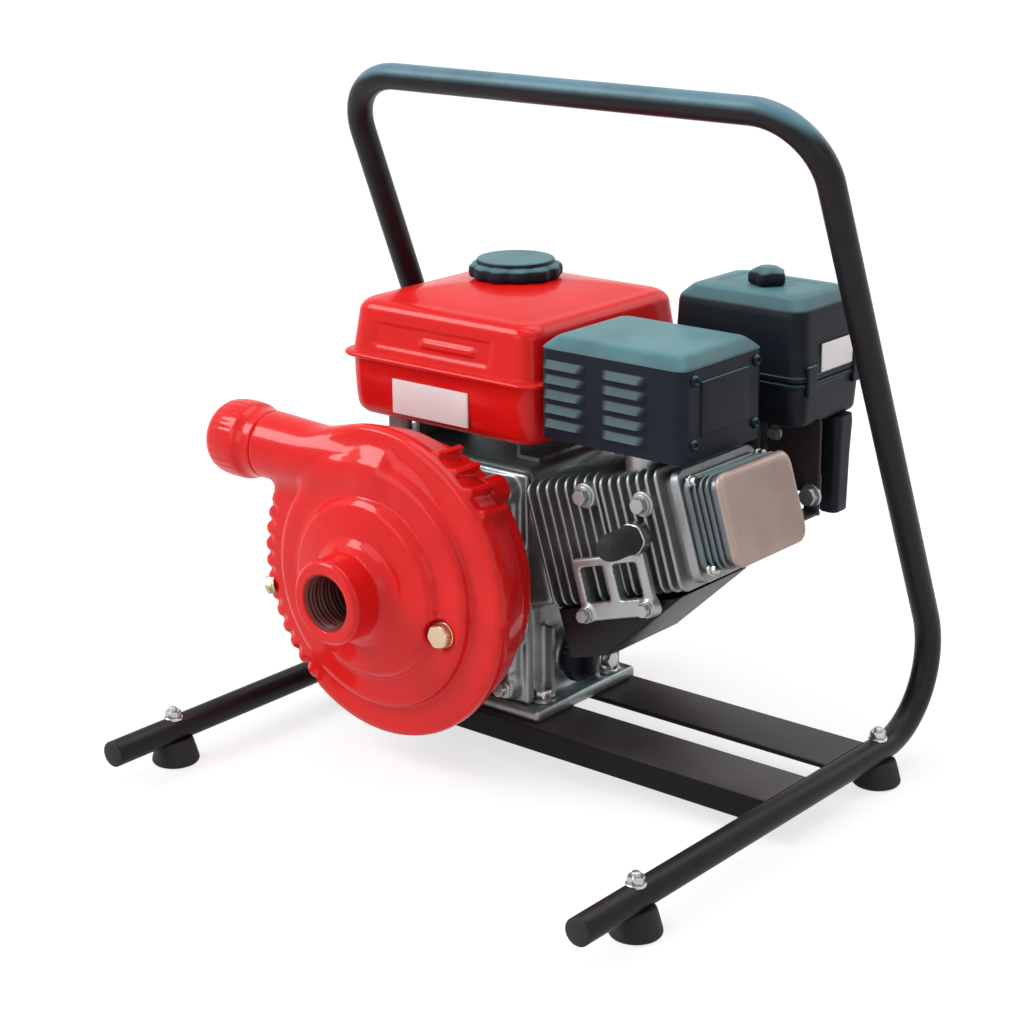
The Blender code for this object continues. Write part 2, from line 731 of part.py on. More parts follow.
def make_tube_plugs():
    bore = TUBE_R - TUBE_WALL - GAP
    profile = [(0, -END_PLUG_DEPTH), (bore, -END_PLUG_DEPTH), (bore, GAP), (TUBE_R, GAP),
               (TUBE_R - END_PLUG_FLANGE / 2, END_PLUG_FLANGE), (0, END_PLUG_FLANGE)]
    for side, sign in (("left", -1), ("right", 1)):
        place = (sign * RAIL_HALF_SPACING, RAIL_FRONT_Y, RAIL_Z)
        add_object(f"tube_plug_{side}", turned(profile, SMALL), "rubber", place, FRONT)


def make_feet():
    """Tapered rubber buffers that wrap the underside of the rails, each on a stud with a nut on top."""
    top = FOOT_HEIGHT + FOOT_WRAP
    profile = [(0, 0), (FOOT_BASE_R, 0), (FOOT_TOP_R, FOOT_HEIGHT), (FOOT_TOP_R, top), (0, top)]
    nut_z = RAIL_Z + TUBE_R + GAP
    stud_top = nut_z + STUD_NUT_H + STUD_PROUD
    for corner, (x, y) in foot_places().items():
        foot = add_object(f"foot_{corner}", turned(profile, MEDIUM), "rubber", (x, y, 0))
        groove = rod(TUBE_R + GAP, -2 * FOOT_TOP_R, 2 * FOOT_TOP_R)
        cut(foot, groove, (x, y, RAIL_Z), FRONT)
        cut(foot, rod(STUD_R + HOLE_GAP, STUD_FLOOR - GAP, 2 * top, SMALL), (x, y, 0))
        shank = rod(STUD_R, STUD_FLOOR, stud_top, SMALL)
        stud = add_object(f"foot_stud_{corner}", shank, "zinc", (x, y, 0))
        fuse(stud, rod(STUD_NUT_R, nut_z, nut_z + STUD_NUT_H, HEXAGON), (x, y, 0))


def bearer_form(row_y, front):
    """An angle from rail centre to rail centre; its lip hangs at the front or at the back."""
    low_y, high_y = row_y - ANGLE_WIDTH / 2, row_y + ANGLE_WIDTH / 2
    lip_y, edge_y = (low_y, high_y) if front else (high_y, low_y)
    lip_in_y = lip_y + ANGLE_THICK if front else lip_y - ANGLE_THICK
    under, foot = SEAT_Z - ANGLE_THICK, SEAT_Z - ANGLE_DROP
    outline = [(lip_y, SEAT_Z), (lip_y, foot), (lip_in_y, foot),
               (lip_in_y, under), (edge_y, under), (edge_y, SEAT_Z)]
    form = prism(outline, -RAIL_HALF_SPACING, RAIL_HALF_SPACING)
    turn = Matrix(((0, 0, 1), (1, 0, 0), (0, 1, 0))).to_4x4()
    bmesh.ops.transform(form, matrix=turn, verts=form.verts)
    return form


def make_engine_bearers():
    """Two folded angles set back to back; their ends are coped to the round rails."""
    for name, row_y, front in zip(("front_bearer", "rear_bearer"), BOLT_ROWS_Y, (True, False)):
        bearer = add_object(name, bearer_form(row_y, front), "frame_paint")
        for rail_x in (-RAIL_HALF_SPACING, RAIL_HALF_SPACING):
            rail = rod(TUBE_R + GAP, -2 * ANGLE_WIDTH, 2 * ANGLE_WIDTH, FINE)
            cut(bearer, rail, (rail_x, row_y, RAIL_Z), BACK)
        for foot_x, foot_y in foot_places().values():
            top = FOOT_HEIGHT + FOOT_WRAP + FOOT_NOTCH_GAP
            cut(bearer, rod(FOOT_TOP_R + FOOT_NOTCH_GAP, -FOOT_HEIGHT, top), (foot_x, foot_y, 0))
        for bolt_x in BOLT_COLUMNS_X:
            cut(bearer, rod(BOLT_R + HOLE_GAP, 0, 2 * SEAT_Z, SMALL), (bolt_x, row_y, 0))


def bolt_places():
    return [(bolt_x, row_y, 0) for row_y in BOLT_ROWS_Y for bolt_x in BOLT_COLUMNS_X]


def make_engine_bolts():
    """Bolts through the crankcase flange and the bearers, with their nuts on."""
    flange_top = BASE_Z + FLANGE_T
    nut_top = SEAT_Z - ANGLE_THICK - GAP
    nut_low = nut_top - BOLT_NUT_H
    for number, place in enumerate(bolt_places(), 1):
        shank = rod(BOLT_R, nut_low - BOLT_R, flange_top + BOLT_HEAD_H / 2, SMALL)
        bolt = add_object(f"engine_bolt_{number}", shank, "zinc", place)
        fuse(bolt, rod(BOLT_HEAD_R, flange_top + GAP, flange_top + GAP + BOLT_HEAD_H, HEXAGON), place)
        fuse(bolt, rod(BOLT_HEAD_R, nut_low, nut_top, HEXAGON), place)


# Pump, on the crank axis; heights run forward from the engine's output face


def make_pump_adapter():
    """Back plate of the pump and its bridge to the engine, with a pocket for the shaft seal."""
    plate = ring(SHAFT_R + RUNNING_GAP, ADAPTER_R, GAP, ADAPTER_DEPTH, FINE)
    adapter = add_object("pump_adapter", plate, "enamel", CRANK_FACE, FRONT)
    pocket = rod(SEAL_R + GAP, ADAPTER_DEPTH - SEAL_DEPTH, 2 * ADAPTER_DEPTH)
    cut(adapter, pocket, CRANK_FACE, FRONT)


def casing_profile():
    """Outer face of the casing from the middle of the suction mouth back to the rim and the joint."""
    annulus = CASING_RIM_H + ANNULUS_RISE
    step = annulus + STEP_HEIGHT
    boss_root = step + BOSS_BLEND
    edge = MOUTH_EDGE
    return [
        (0, SUCTION_FACE_H),
        (SUCTION_BOSS_R - edge, SUCTION_FACE_H),
        (SUCTION_BOSS_R, SUCTION_FACE_H - edge),
        (SUCTION_BOSS_R, boss_root + edge),
        (SUCTION_BOSS_R + 2 * edge, boss_root),
        (STEP_R - 4 * edge, step + edge),
        (STEP_R - edge, step),
        (STEP_R, annulus + edge / 2),
        (STEP_R + 2 * edge, annulus),
        (CASING_RIM_R - 2 * edge, CASING_RIM_H),
        (CASING_RIM_R - edge / 2, CASING_RIM_H - edge),
        (CASING_RIM_R, CASING_RIM_H - 2.5 * edge),
        (CASING_BACK_R, CASING_BACK_H),
        (0, CASING_BACK_H),
    ]


def chamber_profile():
    """Hollow of the casing: impeller chamber, tapering eye and suction bore, open at both ends."""
    front = CASING_BACK_H + CHAMBER_DEPTH
    return [
        (0, CASING_BACK_H - ADAPTER_DEPTH / 2),
        (CHAMBER_R, CASING_BACK_H - ADAPTER_DEPTH / 2),
        (CHAMBER_R, front - CHAMBER_ROUND),
        (CHAMBER_R - CHAMBER_ROUND, front),
        (EYE_R, front + CHAMBER_ROUND),
        (SUCTION_BORE_R, front + 3 * CHAMBER_ROUND),
        (SUCTION_BORE_R, 2 * SUCTION_FACE_H),
        (0, 2 * SUCTION_FACE_H),
    ]


def plug_places():
    """Spot faces of the pump's plugs: priming on the front face, draining under the casing."""
    front = (CRANK_X + PLUG_SEAT_R * math.cos(PRIMING_PLUG_ANGLE), PTO_FACE_Y - CASING_RIM_H + PLUG_SPOT_DEPTH,
             CRANK_Z + PLUG_SEAT_R * math.sin(PRIMING_PLUG_ANGLE))
    middle_y = PTO_FACE_Y - (CASING_BACK_H + CASING_RIM_H) / 2
    under = (CRANK_X, middle_y, CRANK_Z - (CASING_RIM_R + CASING_BACK_R) / 2 + 2 * PLUG_SPOT_DEPTH)
    return {"priming_plug": (front, FRONT), "drain_plug": (under, (0, 0, -1))}


def make_pump_casing():
    """Turned volute casing with its suction boss, and the discharge horn leaving towards -X."""
    casing = add_object("pump_casing", turned(casing_profile(), FINE), "enamel", CRANK_FACE, FRONT)
    horn = turned([(0, 0), (HORN_ROOT_R, 0), (HORN_NECK_R, HORN_LENGTH), (0, HORN_LENGTH)], MEDIUM)
    horn_place = (CRANK_X, HORN_Y, HORN_Z)
    fuse(casing, horn, horn_place, LEFT)
    cut(casing, turned(chamber_profile(), FINE), CRANK_FACE, FRONT)
    cut(casing, rod(DISCHARGE_BORE_R, CHAMBER_R / 4, 2 * HORN_LENGTH), horn_place, LEFT)
    for place, direction in plug_places().values():
        hole = rod(PLUG_SHANK_R + HOLE_GAP, -PLUG_SHANK_H - HOLE_GAP, PLUG_SHANK_H, SMALL)
        cut(casing, hole, place, direction)
        cut(casing, rod(PLUG_R + PLUG_SPOT_MARGIN, 0, 2 * PLUG_SHANK_H), place, direction)


def make_pump_plugs():
    """Hexagon brass plugs that screw into the casing."""
    for name, (place, direction) in plug_places().items():
        shank = rod(PLUG_SHANK_R, GAP - PLUG_SHANK_H, GAP + PLUG_HEAD_H / 2, SMALL)
        plug = add_object(name, shank, "brass", place, direction)
        fuse(plug, rod(PLUG_R, GAP, GAP + PLUG_HEAD_H, HEXAGON), place, direction)


def make_discharge_coupling():
    """Barrel coupling on the end of the discharge horn."""
    flare = COUPLING_WAIST_L + COUPLING_FLARE_L
    barrel = flare + COUPLING_BARREL_L
    profile = [
        (DISCHARGE_BORE_R, 0),
        (COUPLING_WAIST_R, 0),
        (COUPLING_WAIST_R, COUPLING_WAIST_L),
        (COUPLING_R, flare),
        (COUPLING_R, barrel),
        (COUPLING_R - COUPLING_EDGE, COUPLING_LENGTH),
        (SUCTION_BORE_R, COUPLING_LENGTH),
        (SUCTION_BORE_R, flare + COUPLING_BORE_STEP),
        (DISCHARGE_BORE_R, flare),
    ]
    place = (HORN_END_X - GAP, HORN_Y, HORN_Z)
    add_object("discharge_coupling", turned(profile, MEDIUM), "enamel", place, LEFT)


def make_shaft_seal():
    """Carbon seal cartridge pressed in the adapter's pocket."""
    low = ADAPTER_DEPTH - SEAL_DEPTH + GAP
    seal = ring(SHAFT_R + RUNNING_GAP, SEAL_R, low, ADAPTER_DEPTH - GAP)
    add_object("shaft_seal", seal, "carbon", CRANK_FACE, FRONT)


def vane_outline(start):
    """A vane that sweeps back between the hub and the rim, as an outline of even thickness."""
    inner, outer = IMPELLER_HUB_R + VANE_ROOT, IMPELLER_R - VANE_TIP_INSET
    sides = ([], [])
    for step in range(VANE_STEPS + 1):
        part = step / VANE_STEPS
        radius = inner + (outer - inner) * part
        angle = start + VANE_SWEEP * part
        half = VANE_THICK / 2 / radius
        for side, sign in zip(sides, (-1, 1)):
            side.append((radius * math.cos(angle + sign * half), radius * math.sin(angle + sign * half)))
    return sides[0] + sides[1][::-1]


def make_impeller():
    """Open impeller: a disc, a hub and swept-back vanes."""
    back, face = IMPELLER_BACK_H, IMPELLER_FACE_H
    bore = SHAFT_R + GAP
    profile = [(bore, back), (IMPELLER_R, back), (IMPELLER_R, face),
               (IMPELLER_HUB_R + IMPELLER_HUB_FLARE, face), (IMPELLER_HUB_R, HUB_FACE_H), (bore, HUB_FACE_H)]
    impeller = add_object("impeller", turned(profile, MEDIUM), "casting", CRANK_FACE, FRONT)
    for number in range(VANE_COUNT):
        outline = vane_outline(math.tau * number / VANE_COUNT)
        fuse(impeller, prism(outline, face - IMPELLER_DISC / 2, face + VANE_HEIGHT), CRANK_FACE, FRONT)


def make_impeller_nut():
    low = HUB_FACE_H + GAP
    high = low + IMPELLER_NUT_H
    profile = [(0, low), (IMPELLER_NUT_R, low), (IMPELLER_NUT_R, high - IMPELLER_NUT_NOSE),
               (IMPELLER_NUT_R / 2, high), (0, high)]
    add_object("impeller_nut", turned(profile, HEXAGON), "zinc", CRANK_FACE, FRONT)


# Engine


def bearing_spans():
    """Heights of the front and rear ball bearings along the crank axis."""
    front = -COVER_DEPTH + BEARING_W - GAP
    rear = PTO_FACE_Y - (CASE_BACK_Y - CASE_REAR_WALL) - GAP
    return {"front_bearing": (front - BEARING_W, front), "rear_bearing": (rear - BEARING_W, rear)}


def make_side_cover():
    """Cover on the output side that carries the front bearing and the pump."""
    x_span = inset((CASE_LEFT_X, CASE_RIGHT_X), COVER_MARGIN)
    z_span = (BASE_Z + FLANGE_T + COVER_MARGIN, CASE_TOP_Z - COVER_MARGIN)
    shape = [(x - CRANK_X, z - CRANK_Z) for x, z in rounded_rectangle(x_span, z_span, COVER_CORNER_R)]
    plate = prism(shape, -COVER_DEPTH - GAP, -GAP)
    cover = add_object("crankcase_side_cover", plate, "casting", CRANK_FACE, FRONT)
    cut(cover, rod(JOURNAL_R + RUNNING_GAP, -2 * COVER_DEPTH, COVER_DEPTH), CRANK_FACE, FRONT)
    cut(cover, rod(BEARING_R + GAP, -2 * COVER_DEPTH, -COVER_DEPTH + BEARING_W), CRANK_FACE, FRONT)


def make_bearings():
    for name, (low, high) in bearing_spans().items():
        add_object(name, ring(JOURNAL_R + GAP, BEARING_R, low, high), "steel", CRANK_FACE, FRONT)


def cylinder_frame():
    """Empty at the crank centre whose X runs up the cylinder and whose Z stands square to it."""
    holder = bpy.data.objects.new("cylinder_axis", None)
    bpy.context.scene.collection.objects.link(holder)
    holder.location = (CRANK_X, CYLINDER_Y, CRANK_Z)
    holder.rotation_euler = (0, -CYLINDER_TILT, 0)
    return holder


def fuse_barrel(case, cylinder):
    """Add the round barrel and its square cooling fins, then face off what crosses the cover joint."""
    fuse(case, rod(BARREL_R, CASE_HALF_W / 2, DECK_D), direction=RIGHT, parent=cylinder)
    pitch = (DECK_D - DECK_LAND - FIN_T - FIN_FIRST_D) / (FIN_COUNT - 1)
    for number in range(FIN_COUNT):
        low = FIN_FIRST_D + pitch * number
        fin = box((low, -FIN_WIDTH / 2, -FIN_HEIGHT / 2), (low + FIN_T, FIN_WIDTH / 2, FIN_HEIGHT / 2))
        fuse(case, fin, parent=cylinder)
    joint = box((CASE_LEFT_X - CASE_WALL, CASE_FRONT_Y - COVER_DEPTH, BASE_Z + FLANGE_T),
                (CASE_RIGHT_X, CASE_FRONT_Y, 2 * CASE_TOP_Z))
    cut(case, joint)


def make_crankcase(cylinder):
    """Crankcase, foot flange and finned barrel cast in one, open to the side cover."""
    block = box((CASE_LEFT_X, CASE_FRONT_Y, BASE_Z), (CASE_RIGHT_X, CASE_BACK_Y, CASE_TOP_Z), CASE_EDGE_R)
    case = add_object("crankcase", block, "casting")
    flange = box((CRANK_X - FLANGE_HALF_W, CASE_FRONT_Y - FLANGE_FRONT, BASE_Z),
                 (CRANK_X + FLANGE_HALF_W, CASE_BACK_Y - GAP, BASE_Z + FLANGE_T), FLANGE_EDGE_R)
    fuse(case, flange)
    fuse_barrel(case, cylinder)
    oil_place = (CASE_RIGHT_X, OIL_Y, OIL_Z)
    fuse(case, rod(OIL_NECK_R, -CASE_WALL, OIL_NECK_L), oil_place, RIGHT)
    cavity = box((CASE_LEFT_X + CASE_WALL, CASE_FRONT_Y - CASE_WALL, BASE_Z + CASE_WALL),
                 (CASE_RIGHT_X - CASE_WALL, CASE_BACK_Y - CASE_REAR_WALL, CASE_TOP_Z - CASE_WALL))
    cut(case, cavity)
    cut(case, rod(BORE_R, CASE_HALF_W / 2, 2 * DECK_D), direction=RIGHT, parent=cylinder)
    cut(case, rod(OIL_BORE_R, -2 * CASE_WALL, 2 * OIL_NECK_L), oil_place, RIGHT)
    cut(case, rod(JOURNAL_R + RUNNING_GAP, -2 * CASE_DEPTH, -CASE_DEPTH / 2), CRANK_FACE, FRONT)
    low, high = bearing_spans()["rear_bearing"]
    cut(case, rod(BEARING_R + GAP, low - GAP, high + CASE_WALL), CRANK_FACE, FRONT)
    flange_top = BASE_Z + FLANGE_T
    for place in bolt_places():
        cut(case, rod(BOLT_R + HOLE_GAP, 0, 2 * BASE_Z, SMALL), place)
        cut(case, rod(BOLT_SPOT_R, flange_top, flange_top + 3 * BOLT_HEAD_H, SMALL), place)


def flywheel_span():
    high = PTO_FACE_Y - HOUSING_FRONT_Y - FLYWHEEL_OFFSET - SHEET_T
    return high - FLYWHEEL_T, high


def make_crankshaft():
    """Crankshaft with one throw; its nose carries the impeller and its tail the flywheel.

    The shaft between the webs goes in two cuts, so that the body stays in one piece throughout.
    """
    tail = flywheel_span()[0] - STARTER_CUP_L / 2
    step = bearing_spans()["rear_bearing"][0] - JOURNAL_OVERRUN
    profile = [(0, tail), (SHAFT_R, tail), (SHAFT_R, step), (JOURNAL_R, step), (JOURNAL_R, -JOURNAL_OVERRUN),
               (SHAFT_R, -JOURNAL_OVERRUN), (SHAFT_R, HUB_FACE_H), (0, HUB_FACE_H)]
    crank = add_object("crankshaft", turned(profile, MEDIUM), "steel", CRANK_FACE, FRONT)
    middle = PTO_FACE_Y - CYLINDER_Y
    low, high = middle - PIN_LENGTH / 2, middle + PIN_LENGTH / 2
    cut(crank, ring(CRANK_CORE_R, WEB_R, low, high), CRANK_FACE, FRONT)
    fuse(crank, rod(WEB_R, low - WEB_T, low), CRANK_FACE, FRONT)
    fuse(crank, rod(WEB_R, high, high + WEB_T), CRANK_FACE, FRONT)
    pin_place = (CRANK_X + CRANK_THROW * math.cos(CYLINDER_TILT), PTO_FACE_Y,
                 CRANK_Z + CRANK_THROW * math.sin(CYLINDER_TILT))
    fuse(crank, rod(CRANK_PIN_R, low - WEB_T / 2, high + WEB_T / 2), pin_place, FRONT)
    cut(crank, rod(2 * CRANK_CORE_R, low, high), CRANK_FACE, FRONT)


def make_flywheel():
    """Flywheel with its cooling fan blades and the starter cup on its outer side."""
    low, high = flywheel_span()
    disc = ring(SHAFT_R + GAP, FLYWHEEL_R, low, high, FINE)
    wheel = add_object("flywheel", disc, "casting", CRANK_FACE, FRONT)
    for number in range(FAN_BLADES):
        turn = Matrix.Rotation(math.tau * number / FAN_BLADES, 4, "Z")
        blade = box((FAN_BLADE_ROOT_R, -SHEET_T, low - FAN_BLADE_H),
                    (FLYWHEEL_R - FAN_BLADE_INSET, SHEET_T, low + FAN_BLADE_H))
        bmesh.ops.transform(blade, matrix=turn, verts=blade.verts)
        fuse(wheel, blade, CRANK_FACE, FRONT)
    cup = ring(STARTER_CUP_R - SHEET_T, STARTER_CUP_R, low - STARTER_CUP_L, low + SHEET_T)
    fuse(wheel, cup, CRANK_FACE, FRONT)


def make_fan_housing():
    """Pressed fan housing round the flywheel, with a pad for the engine switch."""
    front = PTO_FACE_Y - HOUSING_FRONT_Y
    back = PTO_FACE_Y - HOUSING_BACK_Y
    inner = HOUSING_R - SHEET_T
    profile = [(HOUSING_LIP_R, front), (HOUSING_R, front), (HOUSING_R, back), (HOUSING_INLET_R, back),
               (HOUSING_INLET_R, back + SHEET_T), (inner, back + SHEET_T), (inner, front - SHEET_T),
               (HOUSING_LIP_R, front - SHEET_T)]
    housing = add_object("fan_housing", turned(profile, FINE), "plastic", CRANK_FACE, FRONT)
    half = SWITCH_PAD / 2
    pad = box((SWITCH_X - half, HOUSING_BACK_Y - SWITCH_PAD_DEPTH, SWITCH_Z - half),
              (SWITCH_X + half, HOUSING_BACK_Y, SWITCH_Z + half), SWITCH_PAD_EDGE_R)
    fuse(housing, pad)
    cut(housing, rod(inner, back + SHEET_T, front - SHEET_T, FINE), CRANK_FACE, FRONT)


def make_engine_switch():
    """Turning stop switch with a raised finger bar."""
    place = (SWITCH_X, HOUSING_BACK_Y, SWITCH_Z)
    knob = add_object("engine_switch", rod(SWITCH_KNOB_R, GAP, GAP + SWITCH_KNOB_H), "plastic", place, BACK)
    bar = box((-SWITCH_BAR_HALF_L, -SWITCH_BAR_HALF_T, SWITCH_BAR_H[0]),
              (SWITCH_BAR_HALF_L, SWITCH_BAR_HALF_T, SWITCH_BAR_H[1]))
    fuse(knob, bar, place, BACK)


def make_recoil_cover():
    """Domed starter cover with a post inside for the rope pulley."""
    front = PTO_FACE_Y - RECOIL_FRONT_Y
    back = PTO_FACE_Y - RECOIL_BACK_Y
    inner = RECOIL_R - SHEET_T
    shoulder = back + RECOIL_SHOULDER
    post_end = front - POST_SHORT
    profile = [
        (RECOIL_R, front),
        (RECOIL_R, shoulder),
        (RECOIL_CROWN_R, back),
        (0, back),
        (0, post_end),
        (POST_R, post_end),
        (POST_R, back + SHEET_T),
        (RECOIL_CROWN_R - SHEET_T / 2, back + SHEET_T),
        (inner, shoulder + SHEET_T / 2),
        (inner, front),
    ]
    add_object("recoil_cover", turned(profile, FINE), "enamel", CRANK_FACE, FRONT)


def make_starter_pulley():
    """Grooved rope pulley on the cover's post."""
    low = PTO_FACE_Y - RECOIL_BACK_Y + SHEET_T + GAP + PULLEY_LIFT
    high = low + PULLEY_T
    bore = POST_R + RUNNING_GAP
    rim = PULLEY_RIM
    profile = [(bore, low), (PULLEY_R, low), (PULLEY_R, low + rim), (ROPE_R, low + 2 * rim),
               (ROPE_R, high - 2 * rim), (PULLEY_R, high - rim), (PULLEY_R, high), (bore, high)]
    add_object("starter_pulley", turned(profile, MEDIUM), "plastic", CRANK_FACE, FRONT)


def make_starter_grip():
    """Moulded pull grip lying against the recoil cover where the rope comes out."""
    place = Vector((CRANK_X, RECOIL_FRONT_Y + GRIP_BACK, CRANK_Z)) + GRIP_OUT * (RECOIL_R + GAP)
    stem = turned([(0, 0), (GRIP_STEM_R, 0), (GRIP_STEM_TOP_R, GRIP_STEM_L), (0, GRIP_STEM_L)], SMALL)
    grip = add_object("starter_grip", stem, "plastic", place, GRIP_OUT)
    half = GRIP_LENGTH / 2
    shoulder = half - GRIP_END_L
    bar = turned([(0, -half), (GRIP_END_R, -half), (GRIP_R, -shoulder), (GRIP_WAIST_R, 0), (GRIP_R, shoulder),
                  (GRIP_END_R, half), (0, half)], SMALL)
    fuse(grip, bar, place + GRIP_OUT * (GRIP_LIFT + GRIP_R), (-GRIP_OUT.z, 0, GRIP_OUT.x))


def make_piston(cylinder):
    """Hollow piston, held at top dead centre."""
    top = DECK_D - DECK_CLEARANCE
    crown = rod(BORE_R - PISTON_GAP, top - PISTON_LENGTH, top)
    piston = add_object("piston", crown, "casting", direction=RIGHT, parent=cylinder)
    hollow = rod(BORE_R - PISTON_WALL, top - 2 * PISTON_LENGTH, top - PISTON_CROWN)
    cut(piston, hollow, direction=RIGHT, parent=cylinder)


def shroud_levels(low, skin):
    """Outlines of the air pan under the cylinder, short where it is deep and long where it opens."""
    sides = (skin - FIN_WIDTH / 2, FIN_WIDTH / 2 - skin)
    start, radius = FIN_FIRST_D + skin, SHROUD_CORNER_R - skin
    return [(rounded_rectangle((start, SHROUD_DEEP_D - skin), sides, radius), low - SHROUD_DEPTH + skin),
            (rounded_rectangle((start, SHROUD_END_D - skin), sides, radius), low)]


def make_cylinder_head(cylinder):
    """Head, rocker cover, spark plug and the lower shroud under the fins."""
    half_w, half_h = HEAD_WIDTH / 2, HEAD_HEIGHT / 2
    block = box((HEAD_D, -half_w, -half_h), (HEAD_D + HEAD_LENGTH, half_w, half_h), HEAD_EDGE_R)
    head = add_object("cylinder_head", block, "casting", parent=cylinder)
    hole = rod(SPARK_THREAD_R + HOLE_GAP, -SPARK_THREAD_L - HOLE_GAP, SPARK_THREAD_L)
    spark_place = (SPARK_D, -half_w, 0)
    cut(head, hole, spark_place, FRONT, cylinder)
    make_spark_plug(cylinder, spark_place)
    half_w, half_h = ROCKER_WIDTH / 2, ROCKER_HEIGHT / 2
    rocker = box((ROCKER_D, -half_w, -half_h), (ROCKER_D + ROCKER_LENGTH, half_w, half_h), ROCKER_EDGE_R, 3)
    add_object("rocker_cover", rocker, "rocker", parent=cylinder)
    low = -FIN_HEIGHT / 2 - GAP
    pan = add_object("lower_shroud", lofted(shroud_levels(low, 0)), "frame_paint", parent=cylinder)
    inside = shroud_levels(low, SHROUD_T)
    inside.append((inside[-1][0], low + SHROUD_T))
    cut(pan, lofted(inside), parent=cylinder)


def make_spark_plug(cylinder, place):
    """Spark plug screwed in the head, and the rubber cap pushed over its end."""
    hex_top = GAP + SPARK_HEX_L
    tip = hex_top + SPARK_CERAMIC_L
    thread = rod(SPARK_THREAD_R, -SPARK_THREAD_L, GAP + SPARK_HEX_L / 2)
    plug = add_object("spark_plug", thread, "ceramic", place, FRONT, cylinder)
    fuse(plug, rod(SPARK_HEX_R, GAP, hex_top, HEXAGON), place, FRONT, cylinder)
    fuse(plug, rod(SPARK_CERAMIC_R, GAP, tip, SMALL), place, FRONT, cylinder)
    low = hex_top + GAP
    end = low + BOOT_LENGTH
    bore = SPARK_CERAMIC_R + GAP
    profile = [(BOOT_R, low), (BOOT_R, end - BOOT_NOSE_L), (BOOT_R - BOOT_NOSE_IN, end), (0, end),
               (0, tip + GAP), (bore, tip + GAP), (bore, low)]
    add_object("spark_plug_cap", turned(profile, SMALL), "rubber", place, FRONT, cylinder)


# Fuel tank


def tank_outline(taper, skin):
    return rounded_rectangle(inset(TANK_X, taper + skin), inset(TANK_Y, taper + skin), TANK_CORNER_R - skin)


def tank_levels(skin):
    """Rounded outlines up the tank, drawn in by skin; the pressed halves meet at a lip on the outside."""
    seam_low, seam_high = TANK_SEAM_Z - TANK_LIP_T / 2, TANK_SEAM_Z + TANK_LIP_T / 2
    floor = TANK_BOTTOM_Z + skin
    levels = [(TANK_FLOOR_TAPER, floor), (TANK_HEEL_TAPER, floor + TANK_HEEL_H),
              (TANK_FLANK_TAPER, TANK_BOTTOM_Z + TANK_LOWER_H * TANK_FLANK_PART), (TANK_SEAM_TAPER, seam_low)]
    if not skin:
        levels += [(-TANK_LIP, seam_low), (-TANK_LIP, seam_high)]
    levels += [(TANK_SEAM_TAPER + TANK_WALL / 2, seam_high), (TANK_EAVE_TAPER, TANK_SHOULDER_Z - TANK_EAVE_H),
               (TANK_SHOULDER_TAPER, TANK_SHOULDER_Z), (TANK_TOP_TAPER, TANK_TOP_Z - skin)]
    return [(tank_outline(taper, skin), z) for taper, z in levels]


def make_fuel_tank():
    tank = add_object("fuel_tank", lofted(tank_levels(0)), "enamel")
    place = (FILLER_X, FILLER_Y, TANK_TOP_Z)
    fuse(tank, rod(FILLER_R, -TANK_WALL, FILLER_H), place)
    cut(tank, lofted(tank_levels(TANK_WALL)))
    cut(tank, rod(FILLER_R - FILLER_WALL, -3 * TANK_WALL, 2 * FILLER_H), place)


def make_fuel_cap():
    """Cup-shaped filler cap with finger scallops."""
    inner = FILLER_R + RUNNING_GAP
    roof = CAP_H - CAP_TOP_T
    profile = [(CAP_R - CAP_EDGE, GAP), (CAP_R, CAP_EDGE), (CAP_R, CAP_H - CAP_EDGE), (CAP_R - CAP_EDGE, CAP_H),
               (0, CAP_H), (0, roof), (inner, roof), (inner, GAP)]
    cap = add_object("fuel_cap", turned(profile, MEDIUM), "plastic", (FILLER_X, FILLER_Y, TANK_TOP_Z))
    reach = CAP_R + CAP_SCALLOP_OUT
    for number in range(CAP_SCALLOPS):
        angle = math.tau * number / CAP_SCALLOPS
        place = (FILLER_X + reach * math.cos(angle), FILLER_Y + reach * math.sin(angle), TANK_TOP_Z)
        cut(cap, rod(CAP_SCALLOP_R, -CAP_H, 2 * CAP_H, SMALL), place)


def make_tank_bracket():
    """Folded bracket between the crankcase top and the tank floor."""
    low, high = CASE_TOP_Z + GAP, TANK_BOTTOM_Z - GAP
    half, foot, t = BRACKET_HALF_W, BRACKET_HALF_W + BRACKET_FOOT, BRACKET_T
    right_half = [(half - t, high - t), (half - t, low), (foot, low),
                  (foot, low + t), (half, low + t), (half, high)]
    outline = right_half + [(-x, z) for x, z in reversed(right_half)]
    form = prism(outline, -BRACKET_HALF_DEPTH, BRACKET_HALF_DEPTH)
    bmesh.ops.transform(form, matrix=Matrix.Rotation(math.pi / 2, 4, "X"), verts=form.verts)
    add_object("tank_bracket", form, "casting", (CRANK_X, (CASE_FRONT_Y + CASE_BACK_Y) / 2, 0))


# Exhaust


def guard_levels(skin):
    """Outlines up the muffler guard, drawn in by skin: straight sides under a rounded top edge."""
    top = GUARD_Z[1]
    levels = [(0, GUARD_Z[0]), (0, top - GUARD_CHAMFER), (GUARD_BEND, top - GUARD_BEND - skin),
              (GUARD_CHAMFER, top - skin)]
    radius = GUARD_CORNER_R - skin
    return [(rounded_rectangle(inset(GUARD_X, draw + skin), inset(GUARD_Y, draw + skin), radius), z)
            for draw, z in levels]


